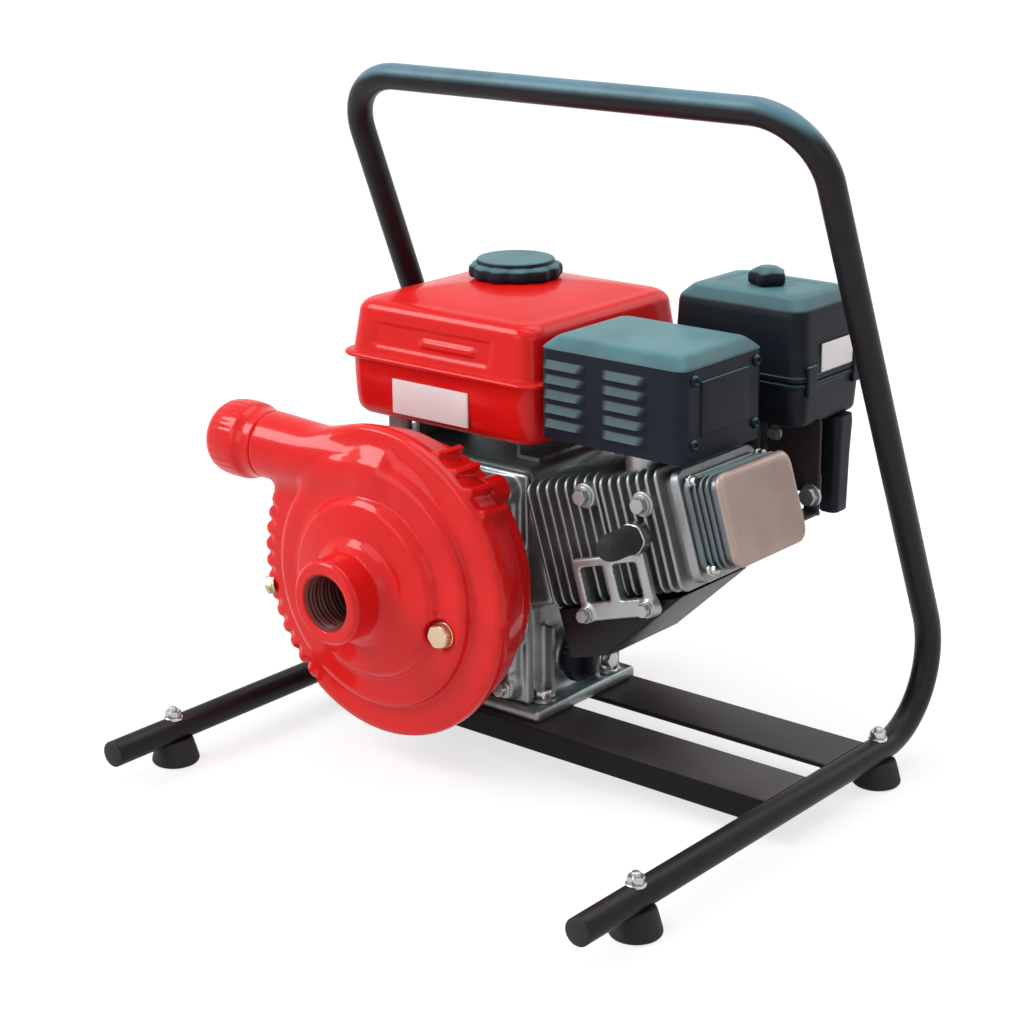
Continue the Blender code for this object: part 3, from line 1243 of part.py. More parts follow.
def make_muffler_guard():
    """Pressed guard, open below, with two columns of louvre slots in its front."""
    guard = add_object("muffler_guard", lofted(guard_levels(0)), "plastic")
    inside = guard_levels(GUARD_T)
    inside[0] = (inside[0][0], GUARD_Z[0] - GUARD_CHAMFER)
    cut(guard, lofted(inside))
    for column_x in SLOT_COLUMNS:
        for row in range(SLOT_ROWS):
            top = GUARD_Z[1] - SLOT_DROP - SLOT_PITCH * row
            left = GUARD_X[0] + column_x - SLOT_WIDTH / 2
            slot = box((left, GUARD_Y[0] - GUARD_T, top - SLOT_HEIGHT),
                       (left + SLOT_WIDTH, GUARD_Y[0] + 2 * GUARD_T, top))
            cut(guard, slot)


def make_muffler_can():
    """Muffler can under the guard, with two screw bosses that carry the guard's front."""
    x_span, y_span = inset(GUARD_X, CAN_CLEAR), inset(GUARD_Y, CAN_CLEAR)
    low, high = GUARD_Z[0] + GAP, GUARD_Z[1] - 2 * CAN_CLEAR
    form = box((x_span[0], y_span[0], low), (x_span[1], y_span[1], high), CAN_EDGE_R)
    can = add_object("muffler_can", form, "steel")
    bore = rod(EXHAUST_R - EXHAUST_WALL, -EXHAUST_ENTRY, EXHAUST_ENTRY)
    cut(can, bore, (EXHAUST_X, EXHAUST_Y, GUARD_Z[0]))
    for rise in CAN_BOSS_RISES:
        boss = rod(CAN_BOSS_R, -CAN_BOSS_R, CAN_CLEAR - GUARD_T - GAP, SMALL)
        fuse(can, boss, (GUARD_X[1] - CAN_BOSS_IN, y_span[0], GUARD_Z[0] + rise), FRONT)


def make_exhaust_stub(cylinder):
    """Short exhaust pipe from the head's upper side, trimmed level under the muffler."""
    half = HEAD_HEIGHT / 2
    d = (EXHAUST_X - CRANK_X + math.sin(CYLINDER_TILT) * half) / math.cos(CYLINDER_TILT)
    low_z = CRANK_Z + d * math.sin(CYLINDER_TILT)
    pipe = ring(EXHAUST_R - EXHAUST_WALL, EXHAUST_R, low_z, GUARD_Z[0])
    stub = add_object("exhaust_stub", pipe, "steel", (EXHAUST_X, EXHAUST_Y, 0))
    under = box((0, -HEAD_WIDTH, -HEAD_HEIGHT), (2 * DECK_D, HEAD_WIDTH, half + GAP))
    cut(stub, under, parent=cylinder)


# Air cleaner and intake


def cleaner_outline(draw):
    radius = CLEANER_CORNER_R - min(draw, CLEANER_CORNER_SHRINK)
    return rounded_rectangle(inset(CLEANER_X, draw), inset(CLEANER_Y, draw), radius)


def cleaner_shell(levels):
    return lofted([(cleaner_outline(draw), z) for draw, z in levels])


def make_air_cleaner_case():
    """Lower half of the air cleaner, with the hole to the intake elbow in its floor."""
    wall, floor, split = CLEANER_WALL, CLEANER_Z[0], CLEANER_SPLIT_Z
    heel = floor + CLEANER_HEEL_H
    outside = [(CLEANER_FLOOR_DRAW, floor), (CLEANER_HEEL_DRAW, heel), (0, split)]
    inside = [(CLEANER_FLOOR_DRAW + wall, floor + wall), (CLEANER_HEEL_DRAW + wall, heel), (wall, split + wall)]
    case = add_object("air_cleaner_case", cleaner_shell(outside), "plastic")
    cut(case, cleaner_shell(inside))
    cut(case, rod(ELBOW_R - ELBOW_WALL, -wall, 2 * wall), (ELBOW_X, ELBOW_Y, floor))


def make_air_cleaner_cover():
    """Lift-off cover with the hole for the hold-down knob's stem."""
    wall, split, roof = CLEANER_WALL, CLEANER_SPLIT_Z, CLEANER_Z[1]
    eave = roof - CLEANER_CHAMFER
    outside = [(0, split + GAP), (CLEANER_EAVE_DRAW, eave), (CLEANER_CHAMFER_BEND, roof - CLEANER_CHAMFER_BEND),
               (CLEANER_ROOF_DRAW, roof)]
    inside = [(wall, split - wall), (wall + CLEANER_EAVE_DRAW, eave - wall), (CLEANER_ROOF_DRAW, roof - wall)]
    cover = add_object("air_cleaner_cover", cleaner_shell(outside), "plastic")
    cut(cover, cleaner_shell(inside))
    cut(cover, rod(KNOB_STEM_R + HOLE_GAP, -2 * KNOB_STEM_L, KNOB_STEM_L, SMALL), (KNOB_X, KNOB_Y, roof))


def make_air_filter():
    """Foam ring standing on the floor of the case."""
    low = CLEANER_Z[0] + CLEANER_WALL + GAP
    high = CLEANER_Z[1] - CLEANER_CHAMFER - 2 * CLEANER_WALL
    element = cleaner_shell([(FILTER_FLOOR_DRAW, low), (FILTER_TOP_DRAW, high)])
    foam = add_object("air_filter", element, "foam")
    hollow = cleaner_shell([(FILTER_FLOOR_DRAW + FILTER_T, low - CLEANER_WALL),
                            (FILTER_TOP_DRAW + FILTER_T, high + CLEANER_WALL)])
    cut(foam, hollow)


def make_cleaner_knob():
    """Hold-down knob whose stem passes through the cover."""
    profile = [(0, -KNOB_STEM_L), (KNOB_STEM_R, -KNOB_STEM_L), (KNOB_STEM_R, GAP), (KNOB_FOOT_R, GAP),
               (KNOB_R, KNOB_GRIP[0]), (KNOB_R, KNOB_GRIP[1]), (KNOB_CROWN_R, KNOB_H), (0, KNOB_H)]
    add_object("air_cleaner_knob", turned(profile, SMALL), "plastic", (KNOB_X, KNOB_Y, CLEANER_Z[1]))


def duct_outline(draw):
    radius = DUCT_CORNER_R - min(draw, DUCT_WALL)
    return rounded_rectangle(inset(DUCT_X, draw), inset(DUCT_Y, draw), radius)


def make_intake_duct():
    """Drop duct under the air cleaner, open at its foot."""
    top = CLEANER_Z[0] - GAP
    outside = [(duct_outline(DUCT_TAPER), DUCT_BOTTOM_Z), (duct_outline(0), top)]
    inside = [(duct_outline(DUCT_TAPER + DUCT_WALL), DUCT_BOTTOM_Z - DUCT_WALL),
              (duct_outline(DUCT_WALL), top - DUCT_WALL)]
    duct = add_object("air_intake_duct", lofted(outside), "plastic")
    cut(duct, lofted(inside))


def make_carburettor():
    """Carburettor body with its throat and float bowl."""
    body = box((CARB_X[0], CARB_Y[0], CARB_Z[0]), (CARB_X[1], CARB_Y[1], CARB_Z[1]), CARB_EDGE_R)
    carb = add_object("carburettor", body, "casting")
    bowl_y = (CARB_Y[0] + CARB_Y[1]) / 2
    fuse(carb, rod(BOWL_R, -BOWL_H, CARB_EDGE_R), (ELBOW_X, bowl_y, CARB_Z[0]))
    throat = rod(CARB_THROAT_R, -CARB_DEPTH, 2 * CARB_DEPTH)
    cut(carb, throat, (ELBOW_X, CARB_Y[0], (CARB_Z[0] + CARB_Z[1]) / 2), BACK)


def make_intake_elbow():
    """Bent tube from the carburettor's back up to the floor of the air cleaner."""
    throat_z = (CARB_Z[0] + CARB_Z[1]) / 2
    corners = ((ELBOW_X, CARB_Y[1] + GAP, throat_z), (ELBOW_X, ELBOW_Y, throat_z),
               (ELBOW_X, ELBOW_Y, CLEANER_Z[0] - GAP))
    path = rounded_path(corners, (ELBOW_BEND_R,), ELBOW_STEPS)
    add_object("intake_elbow", swept_tube(path, ELBOW_R, ELBOW_R - ELBOW_WALL, SMALL), "plastic")


# Controls


def lever_form(arm, heading=0.0):
    """A flat lever: round hub at the origin, straight arm along +Y turned by heading, rounded finger end."""
    tip = arm - LEVER_TIP_R
    turns = [math.pi * step / LEVER_STEPS for step in range(LEVER_STEPS + 1)]
    outline = [(-LEVER_HUB_R * math.cos(turn), -LEVER_HUB_R * math.sin(turn)) for turn in turns]
    outline += [(LEVER_TIP_R * math.cos(turn), tip + LEVER_TIP_R * math.sin(turn)) for turn in turns]
    form = prism(outline, 0, LEVER_T)
    bmesh.ops.transform(form, matrix=Matrix.Rotation(heading, 4, "Z"), verts=form.verts)
    return form


def lever_places():
    """Pivots: choke and fuel valve on the carburettor's outer side, throttle on its plate."""
    side = CARB_X[1] + GAP
    middle_y = (CARB_Y[0] + CARB_Y[1]) / 2
    return {
        "choke_lever": (side, middle_y + CHOKE_BACK, CARB_Z[1] - CHOKE_DROP),
        "fuel_valve_lever": (side, middle_y - FUEL_FORWARD, CARB_Z[0] + FUEL_RISE),
        "throttle_lever": (PLATE_X[1] - THROTTLE_IN, PLATE_Y[1] - THROTTLE_IN, CASE_TOP_Z + 2 * GAP + PLATE_T),
    }


def make_levers():
    """Choke lever standing up, fuel valve lever pointing back, throttle lever lying on its plate."""
    places = lever_places()
    add_object("choke_lever", lever_form(CHOKE_ARM), "plastic", places["choke_lever"], RIGHT)
    fuel_lever = lever_form(FUEL_ARM, -math.pi / 2)
    add_object("fuel_valve_lever", fuel_lever, "plastic", places["fuel_valve_lever"], RIGHT)
    plate_z = CASE_TOP_Z + GAP
    plate = box((PLATE_X[0], PLATE_Y[0], plate_z), (PLATE_X[1], PLATE_Y[1], plate_z + PLATE_T), PLATE_T / 3, 1)
    add_object("control_plate", plate, "zinc")
    add_object("throttle_lever", lever_form(THROTTLE_ARM), "plastic", places["throttle_lever"])


def make_oil_cap():
    """Screw-in oil filler cap with a finger bar."""
    seat = OIL_NECK_L + GAP
    thread = OIL_BORE_R - HOLE_GAP
    place = (CASE_RIGHT_X, OIL_Y, OIL_Z)
    profile = [(0, -OIL_CAP_PLUG), (thread, -OIL_CAP_PLUG), (thread, seat), (OIL_CAP_R, seat),
               (OIL_CAP_R, seat + OIL_CAP_EDGE_H), (OIL_CAP_CROWN_R, seat + OIL_CAP_H), (0, seat + OIL_CAP_H)]
    cap = add_object("oil_filler_cap", turned(profile, MEDIUM), "plastic", place, RIGHT)
    bar = box((-OIL_BAR_HALF_L, -OIL_BAR_HALF_T, seat + OIL_BAR_H[0]),
              (OIL_BAR_HALF_L, OIL_BAR_HALF_T, seat + OIL_BAR_H[1]))
    fuse(cap, bar, place, RIGHT)


def centre_on_footprint():
    """Move the layout so that the origin is the middle of the part's box, on the ground."""
    right = RAIL_HALF_SPACING + max(TUBE_R, FOOT_TOP_R)
    front = RAIL_FRONT_Y - END_PLUG_FLANGE
    holder = bpy.data.objects.new("footprint_middle", None)
    bpy.context.scene.collection.objects.link(holder)
    for piece in bpy.data.objects:
        if piece.parent is None and piece is not holder:
            piece.parent = holder
    holder.location = (-(COUPLING_TIP_X + right) / 2, -(front + RECOIL_BACK_Y) / 2, 0)
    bpy.context.view_layer.update()


def build():
    clear_scene()
    make_frame_tube()
    make_tube_plugs()
    make_feet()
    make_engine_bearers()
    make_engine_bolts()
    make_pump_adapter()
    make_pump_casing()
    make_pump_plugs()
    make_discharge_coupling()
    make_shaft_seal()
    make_impeller()
    make_impeller_nut()
    make_side_cover()
    make_bearings()
    cylinder = cylinder_frame()
    make_crankcase(cylinder)
    make_crankshaft()
    make_flywheel()
    make_fan_housing()
    make_engine_switch()
    make_recoil_cover()
    make_starter_pulley()
    make_starter_grip()
    make_piston(cylinder)
    make_cylinder_head(cylinder)
    make_fuel_tank()
    make_fuel_cap()
    make_tank_bracket()
    make_muffler_guard()
    make_muffler_can()
    make_exhaust_stub(cylinder)
    make_air_cleaner_case()
    make_air_cleaner_cover()
    make_air_filter()
    make_cleaner_knob()
    make_intake_duct()
    make_carburettor()
    make_intake_elbow()
    make_levers()
    make_oil_cap()
    centre_on_footprint()


build()
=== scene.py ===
"""Looks of a portable fire pump: smooth surfaces, finishes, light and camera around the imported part.

Pieces are drawn in millimetres, in axes in which the crank axis stands at CRANK_X and CRANK_Z. put() moves
them to the part's axes, in metres. The stage and the camera are in the part's axes.
"""
from math import acos, cos, pi, radians, sin, tan

import bmesh
import bpy
import numpy as np
from mathutils import Matrix


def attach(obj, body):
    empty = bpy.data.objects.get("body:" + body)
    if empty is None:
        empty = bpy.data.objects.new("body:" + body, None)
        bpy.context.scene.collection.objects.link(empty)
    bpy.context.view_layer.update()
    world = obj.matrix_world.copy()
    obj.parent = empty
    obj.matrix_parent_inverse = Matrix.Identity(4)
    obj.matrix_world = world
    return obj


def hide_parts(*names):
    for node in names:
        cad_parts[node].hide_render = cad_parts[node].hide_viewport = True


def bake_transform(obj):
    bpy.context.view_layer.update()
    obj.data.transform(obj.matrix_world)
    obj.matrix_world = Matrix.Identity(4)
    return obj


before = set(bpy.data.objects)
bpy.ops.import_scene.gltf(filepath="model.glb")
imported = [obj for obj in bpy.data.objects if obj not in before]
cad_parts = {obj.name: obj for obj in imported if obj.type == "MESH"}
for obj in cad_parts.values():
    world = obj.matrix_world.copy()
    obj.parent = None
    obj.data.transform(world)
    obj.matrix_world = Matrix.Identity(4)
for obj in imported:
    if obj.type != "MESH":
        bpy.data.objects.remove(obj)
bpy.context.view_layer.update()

# Places and directions shared by several pieces
SHIFT = np.array((8.4, -33.1, 0))
CRANK_X, PTO_Y, CRANK_Z = -86, 10, 140
TUBE_R = 9.5
RAIL_X, RAIL_FRONT_Y, RAIL_Z = 210, -193, 25
SIDES = (("left", -RAIL_X), ("right", RAIL_X))
FOOT_Y = (-135.4, 150)
TILT_COS, TILT_SIN = cos(radians(17)), sin(radians(17))
CYLINDER_Y = 70
CASING_BACK_H = 22.3
HORN_Y, HORN_Z, HORN_END_X = -35.8, 220.4, -198
PLUG_ANGLE, LUG_ANGLE, GRIP_ANGLE = radians(-16), radians(-77), radians(150)
LEFT, RIGHT, FRONT, BACK, DOWN, UP = (-1, 0, 0), (1, 0, 0), (0, -1, 0), (0, 1, 0), (0, 0, -1), (0, 0, 1)


# Shapes as points and faces

def unit(vector):
    """The vector at length one."""
    vector = np.asarray(vector, float)
    return vector / np.linalg.norm(vector)


def basis(direction):
    """Columns: two unit vectors across the direction, then the direction itself."""
    z = unit(direction)
    x = unit(np.cross(BACK if abs(z[1]) < 0.9 else RIGHT, z))
    return np.column_stack((x, np.cross(z, x), z))


def placed(shape, place, direction=UP, turn=0):
    """A shape drawn about its own Z axis, turned about it, laid along direction and moved to place."""
    points, faces = shape
    c, s = cos(turn), sin(turn)
    spun = points @ np.array(((c, s, 0), (-s, c, 0), UP))
    return spun @ basis(direction).T + np.asarray(place, float), faces


def joined(*shapes):
    """Several shapes as one list of points and faces."""
    starts = np.cumsum([0] + [len(points) for points, _ in shapes])
    faces = [[i + start for i in face] for (_, own), start in zip(shapes, starts) for face in own]
    return np.vstack([points for points, _ in shapes]), faces


def skin(rings, loop=False):
    """A surface of quads through rings of points, closed in a loop or on a middle point at each end."""
    rows, columns = rings.shape[:2]
    points = rings.reshape(-1, 3)
    r = np.arange(rows if loop else rows - 1)[:, None]
    c = np.arange(columns)
    n = (c + 1) % columns
    below = (r + 1) % rows
    corners = (r * columns + c, r * columns + n, below * columns + n, below * columns + c)
    faces = np.stack(corners, -1).reshape(-1, 4).tolist()
    if loop:
        return points, faces
    last = (rows - 1) * columns
    pole = np.full(columns, len(points))
    faces += np.stack((pole, n, c), -1).tolist()
    faces += np.stack((pole + 1, c + last, n + last), -1).tolist()
    return np.vstack((points, rings[0].mean(0), rings[-1].mean(0))), faces


def rounded(points, radius, steps=5, closed=False):
    """A line with each corner K as (1-t)^2 A + 2 t (1-t) K + t^2 B, with A and B a radius along its sides."""
    p = np.asarray(points, float)
    most_of_side = 0.45
    ends = []
    for side in (np.roll(p, 1, 0) - p, np.roll(p, -1, 0) - p):
        size = np.maximum(np.linalg.norm(side, axis=1), 1e-9)
        ends.append(p + side * (np.minimum(radius, most_of_side * size) / size)[:, None])
    a, b = ends
    t = np.linspace(0, 1, steps)[None, :, None]
    arcs = (1 - t) ** 2 * a[:, None] + 2 * t * (1 - t) * p[:, None] + t ** 2 * b[:, None]
    if closed:
        return arcs.reshape(-1, p.shape[1])
    return np.vstack((p[:1], arcs[1:-1].reshape(-1, p.shape[1]), p[-1:]))


def lathe(profile, steps, loop=False, wave=None):
    """A profile of radius and height about Z: x = r cos a, y = r sin a, z = h, with r + wave(a, h, r)."""
    angle = np.arange(steps) * 2 * pi / steps
    r, h = (np.repeat(column[:, None], steps, 1) for column in np.asarray(profile, float).T)
    if wave:
        r = r + wave(angle[None, :], h, r)
    return skin(np.stack((r * np.cos(angle), r * np.sin(angle), h), -1), loop)


def turned(profile, edge, corner, steps, place=(0, 0, 0), direction=UP, loop=False, wave=None):
    """A profile with rounded corners turned about a direction from a place."""
    return placed(lathe(rounded(profile, edge, corner, loop), steps, loop, wave), place, direction)


def ripple(angle, count):
    """A raised cosine, squared: one at each of a count of places round the circle, and nil between them."""
    return (0.5 + 0.5 * np.cos(angle * count)) ** 2


def fade(value, start, length):
    """A straight rise from nil at start to one a length further on."""
    return np.clip((value - start) / length, 0, 1)


def spokes(angle, count):
    """The angle from the nearest of a count of spokes."""
    step = 2 * pi / count
    return (angle + step / 2) % step - step / 2


def sweep(path, radius, sides):
    """A rod along a path: each ring is P + R (n cos a + b sin a), with n carried along without twist."""
    tangent = np.gradient(path, axis=0)
    tangent /= np.linalg.norm(tangent, axis=1)[:, None]
    normal = [basis(tangent[0])[:, 0]]
    for t in tangent[1:]:
        normal.append(unit(normal[-1] - t * (normal[-1] @ t)))
    normal = np.array(normal)[:, None]
    side = np.cross(tangent[:, None], normal)
    angle = (np.arange(sides) * 2 * pi / sides)[None, :, None]
    radius = np.broadcast_to(np.asarray(radius, float), len(path))[:, None, None]
    return skin(path[:, None] + radius * (normal * np.cos(angle) + side * np.sin(angle)))


def bent(points, radii, steps=18):
    """A path of straight runs with a round bend of the given radius at each inner corner."""
    p = np.asarray(points, float)
    out = [p[:1]]
    for i, radius in enumerate(radii, 1):
        u, v = unit(p[i - 1] - p[i]), unit(p[i + 1] - p[i])
        half = acos(u @ v) / 2
        centre = p[i] + unit(u + v) * radius / sin(half)
        e1 = unit(p[i] + u * radius / tan(half) - centre)
        e2 = unit(-u - e1 * (-u @ e1))
        t = np.linspace(0, pi - 2 * half, steps)[:, None]
        out.append(centre + radius * (e1 * np.cos(t) + e2 * np.sin(t)))
    return np.vstack(out + [p[-1:]])


def rings_of(x0, x1, y0, y1, r, z, side=8, corner=7):
    """Rings of rounded rectangles, one for each row of the arrays, with corners of radius r."""
    x0, x1, y0, y1, r, z = np.broadcast_arrays(*[np.asarray(v, float) for v in (x0, x1, y0, y1, r, z)])
    r = np.minimum(r, 0.49 * np.minimum(x1 - x0, y1 - y0))
    arc = np.linspace(0, pi / 2, corner)[None, :]
    corners = []
    for k, centre in enumerate(((x1 - r, y1 - r), (x0 + r, y1 - r), (x0 + r, y0 + r), (x1 - r, y0 + r))):
        a = arc + k * pi / 2
        cx, cy, radius = (v[:, None] for v in (*centre, r))
        corners.append(np.stack((cx + radius * np.cos(a), cy + radius * np.sin(a)), -1))
    t = np.linspace(0, 1, side + 1)[1:-1][None, :, None]
    runs = []
    for here, following in zip(corners, corners[1:] + corners[:1]):
        runs += [here, here[:, -1:] * (1 - t) + following[:, :1] * t]
    flat = np.concatenate(runs, 1)
    return np.concatenate((flat, np.repeat(z[:, None, None], flat.shape[1], 1)), -1)


def inset_rings(box, inset, r, z, side=8, corner=7):
    """Rings of one rounded rectangle, given as x0, x1, y0 and y1, drawn in by the inset of each row."""
    x0, x1, y0, y1 = box
    return rings_of(x0 + inset, x1 - inset, y0 + inset, y1 - inset, r, z, side, corner)


def block(low, high, edge, corner, side=6):
    """A box with rounded edges: rounded rectangles whose inset follows a quarter circle at top and bottom."""
    a = np.linspace(0, pi / 2, 6)
    inset = np.concatenate((edge * (1 - np.sin(a)), edge * (1 - np.cos(a))))
    z = np.concatenate((low[2] + edge * (1 - np.cos(a)), high[2] - edge * (1 - np.sin(a))))
    r = np.maximum(corner - inset, 0.4)
    return skin(inset_rings((low[0], high[0], low[1], high[1]), inset, r, z, side))


def hexagon(across, height):
    """A hexagon head: radius across / 2 / cos(angle from the middle of a flat), with chamfered corners."""
    half, edge = across / 2, 0.8

    def flats(a, h, r):
        corner = np.minimum(half / np.cos(spokes(a, 6)), half * 1.13 - np.abs(h - height / 2) * 0.14)
        return np.where(r > across * 0.4, corner - half, 0) * np.clip(r / half, 0, 1)
    profile = [(0, 0), (half * 0.9, 0), (half, edge), (half, height - edge), (half * 0.93, height),
               (0, height)]
    return lathe(profile, 48, wave=flats)


def bolt(place, direction, across, height, washer, turn=0):
    """A hexagon head on a round washer face."""
    head = placed(hexagon(across, height), place + unit(direction) * 1.6, direction, turn)
    base = [(0, 0), (washer, 0), (washer, 1.4), (washer - 0.4, 1.8), (0, 1.8)]
    return joined(head, placed(lathe(base, 32), place, direction))


def screw(place, direction):
    """A pan-head screw: a flat dome with a sunk middle."""
    profile = [(0, 1.17), (1.68, 1.17), (2, 2.6), (2.8, 2.6), (3.8, 1.43), (4, 0), (0, 0)]
    return turned(profile, 0.5, 3, 28, place, direction)


# Cast forms, as the zero of a distance

def cast(distance, low, high, pitch):
    """The surface where distance is zero: one point in each grid cell that it crosses, moved along the slope
    until the distance is nil, and one quad round each grid edge that it crosses."""
    low = np.asarray(low, float)
    count = np.ceil((high - low) / pitch).astype(int) + 1
    spots = low + pitch * np.stack(np.meshgrid(*map(np.arange, count), indexing="ij"), -1).reshape(-1, 3)
    parts = np.array_split(spots, max(1, len(spots) // 400000))
    value = np.concatenate([distance(part) for part in parts]).reshape(count)
    inside = value < 0
    offsets = np.array([(i, j, k) for i in (0, 1) for j in (0, 1) for k in (0, 1)])
    cells = count - 1
    hits = sum(inside[i:i + cells[0], j:j + cells[1], k:k + cells[2]].astype(int) for i, j, k in offsets)
    cell = np.argwhere((hits > 0) & (hits < 8))
    number = np.full(cells, -1)
    number[tuple(cell.T)] = np.arange(len(cell))
    corner = value[tuple(np.moveaxis(cell[:, None] + offsets, -1, 0))]
    total, weight = np.zeros((len(cell), 3)), np.zeros((len(cell), 1))
    for a, b in [(a, b) for a in range(8) for b in range(a + 1, 8) if a ^ b in (1, 2, 4)]:
        crosses = (corner[:, a] < 0) != (corner[:, b] < 0)
        gap = np.where(crosses, corner[:, a] - corner[:, b], 1)
        t = np.where(crosses, corner[:, a] / gap, 0)[:, None]
        total += np.where(crosses[:, None], offsets[a] * (1 - t) + offsets[b] * t, 0)
        weight += crosses[:, None]
    points = low + pitch * (cell + total / weight)
    step = pitch * 0.2
    for _ in range(3):
        rise = [distance(points + step * e) - distance(points - step * e) for e in np.eye(3)]
        slope = np.stack(rise, -1) / (2 * step)
        push = distance(points)[:, None] * slope / np.maximum((slope ** 2).sum(1), 0.1)[:, None]
        points = points - np.clip(push, -pitch / 2, pitch / 2)
    faces = []
    for axis in range(3):
        u, v = (axis + 1) % 3, (axis + 2) % 3
        here, ahead = [slice(None)] * 3, [slice(None)] * 3
        here[axis], ahead[axis] = slice(None, -1), slice(1, None)
        edge = np.argwhere(inside[tuple(here)] != inside[tuple(ahead)])
        edge = edge[((edge[:, [u, v]] > 0) & (edge[:, [u, v]] < cells[[u, v]])).all(1)]
        eu, ev = np.eye(3, dtype=int)[[u, v]]
        ring = ((1, 1), (0, 1), (0, 0), (1, 0))
        faces += np.stack([number[tuple((edge - du * eu - dv * ev).T)] for du, dv in ring], -1).tolist()
    return points, faces


def d_box(p, low, high, r):
    """Distance to a box with edges rounded by r."""
    low, high = np.asarray(low), np.asarray(high)
    q = np.abs(p - (low + high) / 2) - (high - low) / 2 + r
    return np.linalg.norm(np.maximum(q, 0), axis=1) + np.minimum(q.max(1), 0) - r


def d_rod(p, start, end, r1, r2=None):
    """Distance to a round rod or cone from start to end with softened rims."""
    edge = 2
    axis = np.subtract(end, start)
    length = np.linalg.norm(axis)
    axis = axis / length
    along = (p - start) @ axis
    out = np.linalg.norm(p - start - along[:, None] * axis, axis=1)
    r2 = r1 if r2 is None else r2
    side = out - (r1 + (r2 - r1) * np.clip(along / length, 0, 1)) + edge
    ends = np.abs(along - length / 2) - length / 2 + edge
    return np.hypot(np.maximum(side, 0), np.maximum(ends, 0)) + np.minimum(np.maximum(side, ends), 0) - edge


def d_turned(r, h, outline):
    """Distance in the half plane of radius and height to a closed outline."""
    a = np.asarray(outline, float)
    best, sign = np.full(r.shape, 1e9), np.ones(r.shape)
    for (ar, ah), (br, bh) in zip(a, np.roll(a, -1, 0)):
        er, eh = br - ar, bh - ah
        wr, wh = r - ar, h - ah
        t = np.clip((wr * er + wh * eh) / (er * er + eh * eh), 0, 1)
        best = np.minimum(best, (wr - er * t) ** 2 + (wh - eh * t) ** 2)
        up, down = (h >= ah) & (h < bh), (h < ah) & (h >= bh)
        side = er * wh - eh * wr
        sign = np.where((up & (side > 0)) | (down & (side < 0)), -sign, sign)
    return sign * np.sqrt(best)


def blend(a, b, k):
    """Union of two distances with a fillet of about k."""
    t = np.clip(0.5 + 0.5 * (b - a) / k, 0, 1)
    return b * (1 - t) + a * t - k * t * (1 - t)


def carve(a, b, k):
    """The first distance less the second, with the rim softened by k."""
    return -blend(-a, b, k)


# Finishes

SLOTS = {}


def node(tree, kind, inputs=(), **settings):
    """A shader node with its settings, its links and values given as pairs of socket and source."""
    new = tree.nodes.new(kind)
    for key, value in settings.items():
        setattr(new, key, value)
    for socket, source in inputs:
        if isinstance(source, bpy.types.NodeSocket):
            tree.links.new(source, new.inputs[socket])
        else:
            new.inputs[socket].default_value = source
    return new


def empty_tree(owner):
    """The owner's node tree with nothing in it."""
    owner.use_nodes = True
    owner.node_tree.nodes.clear()
    return owner.node_tree


def ranged(tree, *values, **settings):
    """A value moved from one range to another, given as value, low, high, new low and new high."""
    inputs = zip(("Value", "From Min", "From Max", "To Min", "To Max"), values)
    return node(tree, "ShaderNodeMapRange", inputs, **settings).outputs["Result"]


def maths(tree, operation, a, b):
    """Two values put together by an operation."""
    return node(tree, "ShaderNodeMath", [(0, a), (1, b)], operation=operation).outputs["Value"]


def mixed(tree, amount, hue, colour):
    """The hue moved towards a fixed colour by an amount."""
    first, second, result = 6, 7, 2
    inputs = [("Factor", amount), (first, hue), (second, (*colour, 1))]
    return node(tree, "ShaderNodeMix", inputs, data_type="RGBA").outputs[result]


